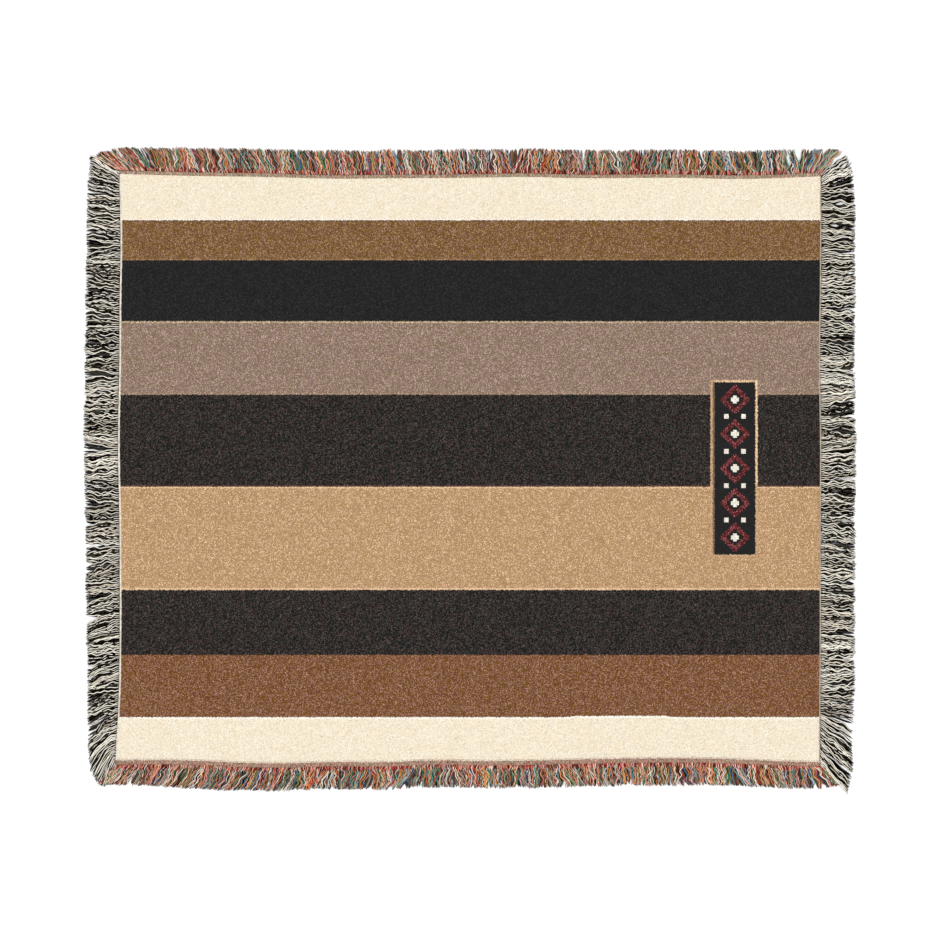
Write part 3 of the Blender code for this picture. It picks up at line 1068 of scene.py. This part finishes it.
def selvedge_material(name, colour):
    """A selvedge: pale yarn loops packed side by side, duller in places, with painted shade in the gaps
    between loops.
    """
    material, tree, shader = new_material(name)
    place = object_place(tree)
    cell = use_group(
        tree, woven_cell, vector=plan_place(tree), width=LOOP_WIDTH, height=LOOP_DEPTH, seed=SELVEDGE_SEED
    )
    patches = add_node(
        tree, "ShaderNodeTexNoise", {"Vector": place, "Scale": 1.0 / LOOP_PATCH, "Detail": SOFT_DETAIL}
    )
    patch = calculate(
        tree, "MULTIPLY_ADD", patches.outputs[0], 2.0 * LOOP_PATCH_SHADE, 1.0 - LOOP_PATCH_SHADE
    )
    light = calculate(tree, "MULTIPLY_ADD", cell["Light"], LOOP_LIGHT, patch)
    shown = scale_colour(tree, tuple(colour), light)
    finish_cloth(tree, shader, shown, cell["Relief"], WEAVE_RELIEF, place, LOOP_GAP_SHADE)
    return material


def yarn_material(name, side_shade):
    """Loose yarn in each strand's own colour, darker by painted shade at its sides and in the grooves of its
    twist.
    """
    material, tree, shader = new_material(name, YARN_GLOSS, YARN_SHEEN)
    twist = use_group(tree, plied_yarn, vector=plan_place(tree), pitch=PLY_PITCH, side=side_shade)
    colour = add_node(tree, "ShaderNodeAttribute", attribute_name="yarn").outputs["Color"]
    # Painted shade: each strand darker towards its sides, away from the lit ridge on top.
    colour = scale_colour(tree, colour, twist["Shade"])
    finish_cloth(
        tree, shader, colour, twist["Relief"], PLY_RELIEF, object_place(tree), PLY_GROOVE_SHADE
    )
    return material


def grid_faces(index):
    """Corners of the four-sided faces between neighbours of a grid of point numbers."""
    return np.stack(
        (index[:-1, :-1], index[:-1, 1:], index[1:, 1:], index[1:, :-1]), axis=-1
    ).reshape(-1, 4)


def quad_piece(name, points, faces, plan, material, colours=None):
    """One piece of four-sided faces, with its own flat coordinates and, where given, each point's colour."""
    mesh = bpy.data.meshes.new(name)
    mesh.vertices.add(len(points))
    mesh.vertices.foreach_set("co", points.astype(np.float32).ravel())
    mesh.loops.add(faces.size)
    mesh.loops.foreach_set("vertex_index", faces.astype(np.int32).ravel())
    mesh.polygons.add(len(faces))
    mesh.polygons.foreach_set("loop_start", np.arange(0, faces.size, 4, dtype=np.int32))
    mesh.polygons.foreach_set("use_smooth", np.ones(len(faces), dtype=bool))
    mesh.update(calc_edges=True)
    own_places = mesh.uv_layers.new(name="plan")
    own_places.uv.foreach_set("vector", plan.astype(np.float32).ravel())
    if colours is not None:
        shades = mesh.color_attributes.new(name="yarn", type="FLOAT_COLOR", domain="POINT")
        with_alpha = np.concatenate((colours, np.ones((len(colours), 1))), axis=1)
        shades.data.foreach_set("color", with_alpha.astype(np.float32).ravel())
    mesh.materials.append(material)
    piece = bpy.data.objects.new(name, mesh)
    bpy.context.scene.collection.objects.link(piece)
    return piece


def dress(piece, node):
    """Tie a piece to the frame: what it moves with, and hide the CAD part that it stands for."""
    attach(piece, BODY)
    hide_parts(node)
    return piece


def closed_sheet(name, upper, lower, plan, material):
    """A closed thin sheet from two grids of points, by row and column, that meet at their rim.

    The rim's points are the upper grid's, so both faces share them. Where the grids run the other way
    round, the faces are turned so that they point outwards.
    """
    rows, columns = upper.shape[:2]
    above = np.arange(rows * columns).reshape(rows, columns)
    below = above.copy()
    inner = (rows - 2) * (columns - 2)
    below[1:-1, 1:-1] = rows * columns + np.arange(inner).reshape(rows - 2, columns - 2)
    points = np.concatenate((upper.reshape(-1, 3), lower[1:-1, 1:-1].reshape(-1, 3)))
    faces = np.concatenate((grid_faces(above), grid_faces(below)[:, ::-1]))
    places = np.concatenate((grid_faces(above), grid_faces(above)[:, ::-1]))
    along = upper[0, -1] - upper[0, 0]
    outward = upper[-1, 0] - upper[0, 0]
    if np.cross(along[:2], outward[:2]) < 0.0:
        faces = faces[:, ::-1]
        places = places[:, ::-1]
    return quad_piece(name, points, faces, plan.reshape(-1, 2)[places], material)


def cloth_edge(side):
    """Places along one edge of the CAD cloth, in order, and how far out its rim lies there."""
    points = np.array([vert.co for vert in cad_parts["cloth"].data.vertices])[:, :2]
    out = points @ side.out
    rim = points[out > out.max() - RIM_SEARCH]
    places, order = np.unique(np.round(rim @ side.along, PLACE_DIGITS), return_index=True)
    return places, (rim @ side.out)[order]


def rounded(distance, radius):
    """Quarter round: how high, of 1, a sheet's face stands at a distance in from its rim."""
    near = 1.0 - np.clip(distance / radius, 0.0, 1.0)
    return np.sqrt(1.0 - near**2)


def smooth_step(share):
    """A share from 0 to 1 that starts and ends level."""
    share = np.clip(share, 0.0, 1.0)
    return share * share * (3.0 - 2.0 * share)


def points_over(plan, height):
    """Points over the places of a plan, at their heights."""
    return np.concatenate((plan, height[..., None]), axis=-1)


def between(first, last, share):
    """The value at a share of the way from the first to the last."""
    return first + share * (last - first)


def rim_shares(length, step):
    """Shares along a sheet's side: close together by its two rims and evenly spaced between them."""
    rim = np.array(RIM_STEPS) / length
    middle = np.linspace(rim[-1], 1.0 - rim[-1], max(2, round(length / step)) + 1)
    return np.concatenate((rim[:-1], middle, 1.0 - rim[:-1][::-1]))


def cloth_panel(sizes, colours):
    """The striped cloth as one closed sheet.

    In plan each point blends the four edges of the CAD cloth: the point between the left and right edges,
    plus the point between the lower and upper edges, less the point between the four corners. In height
    the faces part from the rim by a quarter round. The whole sheet lifts by half the wave height, plus a
    quarter of it times a sine that runs across and a quarter times one that runs up, and the lift fades
    out by its edges.
    """
    edges = {side.name: cloth_edge(side) for side in (TOP, BOTTOM, LEFT, RIGHT)}
    left_edge, right_edge = edges["left"], edges["right"]
    top_edge, bottom_edge = edges["top"], edges["bottom"]
    width = left_edge[1].mean() + right_edge[1].mean()
    height = top_edge[1].mean() + bottom_edge[1].mean()
    u, v = np.meshgrid(rim_shares(width, sizes.cloth_step), rim_shares(height, sizes.cloth_step))
    corners = {
        (0, 0): (-left_edge[1][0], -bottom_edge[1][0]),
        (1, 0): (right_edge[1][0], -bottom_edge[1][-1]),
        (0, 1): (-left_edge[1][-1], top_edge[1][0]),
        (1, 1): (right_edge[1][-1], top_edge[1][-1]),
    }
    low_x = between(corners[0, 0][0], corners[1, 0][0], u)
    high_x = between(corners[0, 1][0], corners[1, 1][0], u)
    left_y = between(corners[0, 0][1], corners[0, 1][1], v)
    right_y = between(corners[1, 0][1], corners[1, 1][1], v)
    low = np.stack((low_x, -np.interp(low_x, *bottom_edge)), axis=-1)
    high = np.stack((high_x, np.interp(high_x, *top_edge)), axis=-1)
    left = np.stack((-np.interp(left_y, *left_edge), left_y), axis=-1)
    right = np.stack((np.interp(right_y, *right_edge), right_y), axis=-1)
    u3, v3 = u[..., None], v[..., None]
    corner = sum(
        np.array(place) * (u3 if at_right else 1.0 - u3) * (v3 if at_top else 1.0 - v3)
        for (at_right, at_top), place in corners.items()
    )
    plan = (1.0 - v3) * low + v3 * high + (1.0 - u3) * left + u3 * right - corner
    from_rim = np.minimum(
        np.minimum(u, 1.0 - u) * width, np.minimum(v, 1.0 - v) * height
    )
    waves = 2.0 + np.sin(math.tau * (u * width / WAVE_ACROSS + v)) + np.sin(
        math.tau * (v * height / WAVE_UP + WAVE_SLANT * u)
    )
    lift = WAVE_HEIGHT / 4.0 * waves * smooth_step(from_rim / WAVE_FADE)
    half = sizes.cloth_thickness / 2.0
    swell = half * rounded(from_rim, RIM_ROUND)
    upper = points_over(plan, half + swell + lift)
    lower = points_over(plan, half - swell + lift)
    own_places = np.stack((u * width, v * height), axis=-1)
    piece = closed_sheet("cloth_panel", upper, lower, own_places, cloth_material(sizes, colours))
    return dress(piece, "cloth"), (width, height)


def strip_ends(side):
    """Where a side's strip starts and ends along its edge. A heading runs on over the selvedges."""
    places = cloth_edge(side)[0]
    if side in (TOP, BOTTOM):
        over = PIECE_GAP + HEADING_OVERRUN
        return places[0] - over, places[-1] + over
    return places[0], places[-1]


def edge_strip(name, side, sizes, ridging, material):
    """A narrow sheet carried along one edge of the cloth, from just inside that edge out to its own depth.

    Its upper face is ridged: it is lower by the ridging's depth times half of one less the cosine of a
    whole turn for each ridge. Its rim is rounded.
    """
    first, last = strip_ends(side)
    inner, outer = -SEAM_TUCK, PIECE_GAP + getattr(sizes, side.strip)
    places = between(first, last, rim_shares(last - first, ridging.step))
    along, share = np.meshgrid(places, rim_shares(outer - inner, STRIP_STEP))
    out = np.interp(along, *cloth_edge(side)) + inner + share * (outer - inner)
    plan = along[..., None] * side.along + out[..., None] * side.out
    own_places = np.stack((along, inner + share * (outer - inner)), axis=-1)
    from_end = np.minimum(along - first, last - along)
    from_rim = np.minimum(np.minimum(share, 1.0 - share) * (outer - inner), from_end)
    ridges = math.tau * (own_places @ np.array((ridging.along, ridging.out)))
    half = sizes.strip_thickness / 2.0
    swell = half * rounded(from_rim, RIM_ROUND)
    dip = ridging.depth * 0.5 * (1.0 - np.cos(ridges)) * rounded(from_rim, RIM_ROUND)
    upper = points_over(plan, half + swell - dip)
    lower = points_over(plan, half - swell)
    return closed_sheet(name, upper, lower, own_places, material)


def pick(shares, colours, count, chance):
    """Draw a colour for each of some strands, as often as its share says."""
    weights = np.array([row.share for row in shares])
    palette = np.array([tuple(getattr(colours, row.name)) for row in shares])
    return palette[chance.choice(len(shares), size=count, p=weights / weights.sum())]


def alternate(shares, colours, count, chance):
    """Pale and dark weft strands by turns, in places several alike side by side, and rather more pale."""
    half = len(shares) // 2
    pale = pick(shares[:half], colours, count, chance)
    dark = pick(shares[half:], colours, count, chance)
    turning = chance.uniform(*TURN_CHANCE, count // TURN_STRANDS + 1)
    turning = np.repeat(turning, TURN_STRANDS)[:count]
    is_pale = np.cumsum(chance.random(count) < turning) % 2 == 0
    is_pale = is_pale | (chance.random(count) < PALE_CHANCE)
    return np.where(is_pale[:, None], pale, dark)


def spread_strands(along, out, openings):
    """Push strands apart round openings, each strand to the side where it passes the opening's middle.

    A strand's distance from an opening's middle grows to the root of its square plus the square of the
    opening's half width there, which falls to 0 at its ends as 1 less a square does.
    """
    for opening in openings:
        near = np.clip(1.0 - ((out - opening.out) / opening.length) ** 2, 0.0, 1.0)
        offset = along - opening.along
        passing = np.abs(out - opening.out).argmin(axis=1)[:, None]
        which_side = np.where(np.take_along_axis(offset, passing, axis=1) < 0.0, -1.0, 1.0)
        push = np.sqrt(offset**2 + (opening.width * near) ** 2) - np.abs(offset)
        along = along + which_side * push
    return along


def small_openings(layer, ends, chance):
    """Short openings scattered over a layer of strands."""
    limits = (ends, SMALL_OPENING_OUT, SMALL_OPENING_WIDTH, SMALL_OPENING_LENGTH)
    columns = [chance.uniform(low, high, layer.openings) for low, high in limits]
    return [Opening(*row) for row in zip(*columns)]


def strand_roots(layer, strands, ends, chance):
    """Places of a layer's roots along its edge: evenly spaced but for a little, and more by the corners."""
    first, last = ends
    count = round(strands * layer.share)
    jitter = chance.uniform(-ROOT_JITTER, ROOT_JITTER, count)
    roots = first + (last - first) / count * (np.arange(count) + 0.5 + jitter)
    crowd = chance.uniform(0.0, CORNER_REACH, (2, round(CORNER_SHARE * count)))
    return np.sort(np.concatenate((roots, first + crowd[0], last - crowd[1])))


def cut_clumps(roots, chance):
    """Part strands into clumps: how many clumps to draw for, each strand's clump, and that clump's middle."""
    most = int((roots[-1] - roots[0]) / CLUMP_NARROW) + 2
    bounds = roots[0] + np.cumsum(chance.uniform(CLUMP_NARROW, CLUMP_WIDE, most))
    clump = np.searchsorted(bounds, roots)
    middle = np.interp(clump + 0.5, np.arange(most + 1), np.insert(bounds, 0, roots[0]))
    return most + 1, clump, middle


def draw_waves(size, length, count, chance):
    """Draw the sizes, lengths and starts of some waves."""
    return np.stack((
        size * chance.uniform(*WAVE_SIZES, count),
        length * chance.uniform(*WAVE_LENGTHS, count),
        chance.uniform(0.0, math.tau, count),
    ))


def draw_strands(side, layer, roots, chance):
    """Draw what sets each strand of a layer apart, as columns with one value for each strand.

    A strand's lean and reach are its side's at its root, plus what neighbours and clumps share, plus its
    own. The lean that neighbours share fades out by the corners.
    """
    count = len(roots)
    clumps, clump, middle = cut_clumps(roots, chance)
    gather = chance.uniform(0.0, 2.0 * layer.gather, clumps)[clump]
    lay_places, *lay_columns = np.array(side.lay).T
    lean, reach, power = (np.interp(roots, lay_places, column) for column in lay_columns)
    bend_places = np.arange(roots[0], roots[-1] + 2.0 * BEND_SPACING, BEND_SPACING)
    bend = np.interp(roots, bend_places, chance.normal(0.0, layer.bend, len(bend_places)))
    bend = bend + chance.normal(0.0, layer.clump, clumps)[clump]
    from_corner = np.minimum(roots - roots[0], roots[-1] - roots)
    lean = lean + bend * smooth_step(from_corner / BEND_FADE)
    lean = lean + chance.normal(0.0, layer.own, count)
    reach = reach + chance.normal(0.0, 0.5 * layer.uneven, clumps)[clump]
    reach = reach + chance.uniform(-layer.uneven, layer.uneven, count)
    stray = chance.random(count) < STRAY_SHARE
    lean = lean + np.where(stray, chance.uniform(-STRAY_LEAN, STRAY_LEAN, count), 0.0)
    level = chance.uniform(layer.low, layer.high, count) + np.where(stray, STRAY_LIFT, 0.0)
    own_wave = draw_waves(layer.swing, layer.wave, count, chance)
    clump_wave = draw_waves(layer.sway, SWAY_LENGTH * layer.wave, clumps, chance)[:, clump]
    radius = chance.uniform(layer.thin, layer.thick, count)
    drawn = (roots, middle, gather, lean, reach, power, level, radius, own_wave, clump_wave)
    return Strands(*(values[..., None] for values in drawn))


def strand_paths(side, layer, strands, depth, openings):
    """Centre lines and radii of a layer's strands, by strand and step, and how far out each step is.

    Outwards a strand goes a share of its reach. Along the edge it drifts by its lean times that share to
    a power, is drawn towards the middle of its clump, and swings in a long wave that its clump shares and
    in a short one of its own, which both grow from the root. Upwards it rises from its root's share of
    its level to all of it, waves a little, and settles towards the floor by the square of its share.
    """
    share = np.linspace(0.0, 1.0, layer.steps + 1)[None, :] ** STEP_POWER
    out = share * strands.reach
    grown = smooth_step(share / WAVE_GROWTH)
    along = strands.root + strands.lean * share**strands.power
    along = along + strands.gather * (strands.middle - strands.root) * smooth_step(share)
    for size, length, start in (strands.clump_wave, strands.own_wave):
        along = along + size * grown * np.sin(math.tau * out / length + start)
    along = spread_strands(along, out, openings)
    radius = strands.radius * np.interp(share, *zip(*TUBE_PROFILE))
    risen = between(ROOT_SHARE, 1.0, smooth_step(share / RISE_SHARE))
    size, length, start = strands.own_wave
    lift = LIFT_SHARE * size * grown * np.sin(math.tau * out / length * LIFT_RATE + 2.0 * start)
    height = strands.level * risen * (1.0 - SETTLE * share**2) + lift
    height = np.maximum(height, radius + FLOOR_CLEARANCE)
    edge = np.interp(strands.root, *cloth_edge(side)) + PIECE_GAP + depth - ROOT_INSET
    plan = along[..., None] * side.along + (edge + out)[..., None] * side.out
    return points_over(plan, height), radius, out


def carry_tubes(paths, radii):
    """Closed four-sided tubes carried along paths: their points, their faces and the faces' own places.

    Each ring stands square to its path, in the level direction across the path and the direction square to
    both. A face's own places are turns round the tube and metres along it.
    """
    strands, steps = paths.shape[:2]
    heading = np.gradient(paths, axis=1)
    heading /= np.linalg.norm(heading, axis=-1, keepdims=True)
    across = np.cross(RISE, heading)
    across /= np.linalg.norm(across, axis=-1, keepdims=True)
    above = np.cross(heading, across)
    angles = math.tau * np.arange(TUBE_SIDES) / TUBE_SIDES
    ring = (
        np.cos(angles)[:, None] * across[:, :, None, :] + np.sin(angles)[:, None] * above[:, :, None, :]
    )
    points = paths[:, :, None, :] + radii[:, :, None, None] * ring
    number = np.arange(strands * steps * TUBE_SIDES).reshape(strands, steps, TUBE_SIDES)
    following = np.roll(number, -1, axis=2)
    walls = np.stack(
        (number[:, :-1], following[:, :-1], following[:, 1:], number[:, 1:]), axis=-1
    ).reshape(-1, 4)
    caps = np.concatenate((number[:, 0, ::-1], number[:, -1]))
    spans = np.linalg.norm(np.diff(paths, axis=1), axis=-1)
    length = np.concatenate((np.zeros((strands, 1)), np.cumsum(spans, axis=1)), axis=1)
    turn = np.broadcast_to(np.arange(TUBE_SIDES) / TUBE_SIDES, (strands, steps - 1, TUBE_SIDES))
    next_turn = turn + 1.0 / TUBE_SIDES
    start = np.broadcast_to(length[:, :-1, None], turn.shape)
    end = np.broadcast_to(length[:, 1:, None], turn.shape)
    corners = ((turn, start), (next_turn, start), (next_turn, end), (turn, end))
    wall_places = np.stack([np.stack(corner, axis=-1) for corner in corners], axis=3).reshape(-1, 4, 2)
    cap_places = np.zeros((len(caps), 4, 2))
    faces = np.concatenate((walls, caps))
    return points.reshape(-1, 3), faces, np.concatenate((wall_places, cap_places))


def strand_colours(fringe, layer, out, chance):
    """Colours of one layer's strands, by strand and step, about as bright as the layer's painted light.

    Where roots have colours of their own, a strand's colour comes and goes with a second one in a slow
    wave along it, and gives way to its root's colour near its root. A colour past white is scaled down.
    """
    count = len(out)
    # Painted light: each strand's yarn is scaled by its layer's painted light, dark as painted shade in the
    # lower layer, and varied at random from strand to strand.
    bright = layer.bright * (1.0 + YARN_LIGHT_NOISE * chance.normal(0.0, 1.0, (count, 1, 1)))
    own = fringe.choose(count, chance)[:, None, :]
    if fringe.choose_root:
        second = fringe.choose(count, chance)[:, None, :]
        turns = math.tau * (out / SECOND_YARN_LENGTH + chance.random((count, 1)))
        own = between(own, second, (SECOND_YARN_SHARE * (0.5 + 0.5 * np.sin(turns)))[..., None])
        near_root = out < chance.uniform(*ROOT_COLOUR_REACH, (count, 1))
        own = np.where(near_root[..., None], fringe.choose_root(count, chance)[:, None, :], own)
    shade = np.broadcast_to(own * bright, (*out.shape, 3))
    return shade / np.maximum(shade.max(axis=-1, keepdims=True), 1.0)


def fringe_piece(fringe, side, sizes):
    """One side's fringe: its layers of strands, from the lowest up, joined into one piece."""
    chance = np.random.default_rng(side.seed)
    ends = strip_ends(side)
    openings = list(side.openings)
    built = []
    numbered = 0
    for layer in fringe.layers:
        roots = strand_roots(layer, fringe.strands, ends, chance)
        openings += small_openings(layer, ends, chance)
        strands = draw_strands(side, layer, roots, chance)
        paths, radii, out = strand_paths(side, layer, strands, getattr(sizes, side.strip), openings)
        points, faces, places = carry_tubes(paths, radii)
        shades = strand_colours(fringe, layer, out, chance).reshape(-1, 3)
        built.append((points, faces + numbered, places, np.repeat(shades, TUBE_SIDES, axis=0)))
        numbered += len(points)
    points, faces, places, shades = (np.concatenate(parts) for parts in zip(*built))
    return quad_piece(f"{fringe.kind}_{side.name}", points, faces, places, fringe.material, shades)


class BLANKET_OT_cloth(Operator):
    """Weave the striped cloth with its patch."""

    bl_idname = "blanket.cloth"
    bl_label = "Striped Cloth"

    def execute(self, context):
        scene = context.scene
        piece, flat = cloth_panel(scene.blanket_sizes, scene.blanket_colours)
        if not piece.data.polygons:
            raise RuntimeError("the striped cloth came out empty")
        piece["flat"] = flat
        return {"FINISHED"}


class BLANKET_OT_headings(Operator):
    """Weave the narrow headings at the top and bottom edges."""

    bl_idname = "blanket.headings"
    bl_label = "Headings"

    def execute(self, context):
        sizes = context.scene.blanket_sizes
        cream = context.scene.blanket_colours.cream
        for side, tint, tooth in ((TOP, TOP_TINT, 0.0), (BOTTOM, BOTTOM_TINT, CLOTH_TOOTH)):
            material = heading_material(f"{side.name} heading", sizes, tint, tooth, cream)
            piece = edge_strip(f"heading_{side.name}", side, sizes, HEADING_RIDGING, material)
            dress(piece, side.node)
        return {"FINISHED"}


class BLANKET_OT_selvedges(Operator):
    """Weave the pale selvedges at the left and right edges."""

    bl_idname = "blanket.selvedges"
    bl_label = "Selvedges"

    def execute(self, context):
        sizes = context.scene.blanket_sizes
        colours = context.scene.blanket_colours
        for side in (LEFT, RIGHT):
            material = selvedge_material(f"{side.name} selvedge", getattr(colours, side.strip))
            piece = edge_strip(f"selvedge_{side.name}", side, sizes, SELVEDGE_RIDGING, material)
            dress(piece, side.node)
        return {"FINISHED"}


class BLANKET_OT_warp_fringe(Operator):
    """Lay the many-coloured fringe along the top and bottom edges."""

    bl_idname = "blanket.warp_fringe"
    bl_label = "Warp Fringe"

    def execute(self, context):
        sizes = context.scene.blanket_sizes
        colours = context.scene.blanket_colours
        warp = Fringe(
            kind="warp_fringe", layers=WARP_LAYERS, strands=sizes.warp_strands,
            choose=lambda count, chance: pick(WARP_SHARES, colours, count, chance),
            choose_root=lambda count, chance: pick(ROOT_SHARES, colours, count, chance),
            material=yarn_material("warp yarn", WARP_SIDE_SHADE),
        )
        for side in (TOP, BOTTOM):
            dress(fringe_piece(warp, side, sizes), side.node)
        return {"FINISHED"}


class BLANKET_OT_weft_fringe(Operator):
    """Lay the cream and black fringe along the left and right edges."""

    bl_idname = "blanket.weft_fringe"
    bl_label = "Weft Fringe"

    def execute(self, context):
        sizes = context.scene.blanket_sizes
        colours = context.scene.blanket_colours
        weft = Fringe(
            kind="weft_fringe", layers=WEFT_LAYERS, strands=sizes.weft_strands,
            choose=lambda count, chance: alternate(WEFT_SHARES, colours, count, chance),
            choose_root=None, material=yarn_material("weft yarn", WEFT_SIDE_SHADE),
        )
        for side in (LEFT, RIGHT):
            dress(fringe_piece(weft, side, sizes), side.node)
        return {"FINISHED"}


class BLANKET_OT_stage(Operator):
    """Set the pale floor, the soft light and the camera above the blanket."""

    bl_idname = "blanket.stage"
    bl_label = "Studio"

    def execute(self, context):
        scene = context.scene
        across, up = np.meshgrid((-0.5, 0.5), (-0.5, 0.5))
        points = np.stack((across, up, np.zeros((2, 2))), axis=-1).reshape(-1, 3) * FLOOR_SIZE
        points[:, 2] = -FLOOR_DROP
        material, _, shader = new_material("pale floor")
        shader.inputs["Base Color"].default_value = (*FLOOR_COLOUR, 1.0)
        shader.inputs["Roughness"].default_value = 1.0
        faces = grid_faces(np.arange(4).reshape(2, 2))
        quad_piece("floor", points, faces, points[faces][..., :2], material)
        world = bpy.data.worlds.new("studio")
        world.use_nodes = True
        background = world.node_tree.nodes["Background"]
        background.inputs["Color"].default_value = (1.0, 1.0, 1.0, 1.0)
        background.inputs["Strength"].default_value = LIGHT_LEVEL * SKY_SHARE
        scene.world = world
        sun = bpy.data.lights.new("soft sun", "SUN")
        sun.angle = SUN_SPREAD
        sun_object = bpy.data.objects.new("soft sun", sun)
        sun_object.rotation_euler = SUN_TURN
        scene.collection.objects.link(sun_object)
        steepness = math.cos(SUN_TURN[0]) * math.cos(SUN_TURN[1])
        sun.energy = math.pi * LIGHT_LEVEL * (1.0 - SKY_SHARE) / steepness
        lens = bpy.data.cameras.new("camera")
        lens.lens = CAMERA_LENS
        lens.sensor_width = CAMERA_SENSOR
        camera = bpy.data.objects.new("camera", lens)
        distance = VIEW_WIDTH * CAMERA_LENS / CAMERA_SENSOR
        camera.location = (CAMERA_X, CAMERA_Y, scene.blanket_sizes.cloth_thickness + distance)
        scene.collection.objects.link(camera)
        scene.camera = camera
        scene.view_settings.view_transform = "Standard"
        scene.view_settings.look = "None"
        return {"FINISHED"}


OPERATORS = (
    BLANKET_OT_cloth,
    BLANKET_OT_headings,
    BLANKET_OT_selvedges,
    BLANKET_OT_warp_fringe,
    BLANKET_OT_weft_fringe,
    BLANKET_OT_stage,
)


class BLANKET_PT_build(Panel):
    """Sizes, colours and the steps that build the blanket."""

    bl_label = "Throw Blanket"
    bl_idname = "BLANKET_PT_build"
    bl_space_type = "VIEW_3D"
    bl_region_type = "UI"
    bl_category = "Blanket"

    def draw(self, context):
        for settings in (context.scene.blanket_sizes, context.scene.blanket_colours):
            box = self.layout.box()
            for name in settings.bl_rna.properties.keys():
                if name not in ("rna_type", "name"):
                    box.prop(settings, name)
        for operator in OPERATORS:
            self.layout.operator(operator.bl_idname)


CLASSES = (BlanketSizes, BlanketColours, *OPERATORS, BLANKET_PT_build)


def register():
    """Make the settings, the operators and the panel known to Blender."""
    for item in CLASSES:
        bpy.utils.register_class(item)
    bpy.types.Scene.blanket_sizes = PointerProperty(type=BlanketSizes)
    bpy.types.Scene.blanket_colours = PointerProperty(type=BlanketColours)


def unregister():
    """Take the settings, the operators and the panel out of Blender again."""
    del bpy.types.Scene.blanket_colours
    del bpy.types.Scene.blanket_sizes
    for item in reversed(CLASSES):
        bpy.utils.unregister_class(item)


def main():
    """Build every piece in order."""
    register()
    for operator in OPERATORS:
        group, name = operator.bl_idname.split(".")
        getattr(getattr(bpy.ops, group), name)()


if __name__ == "__main__":
    main()
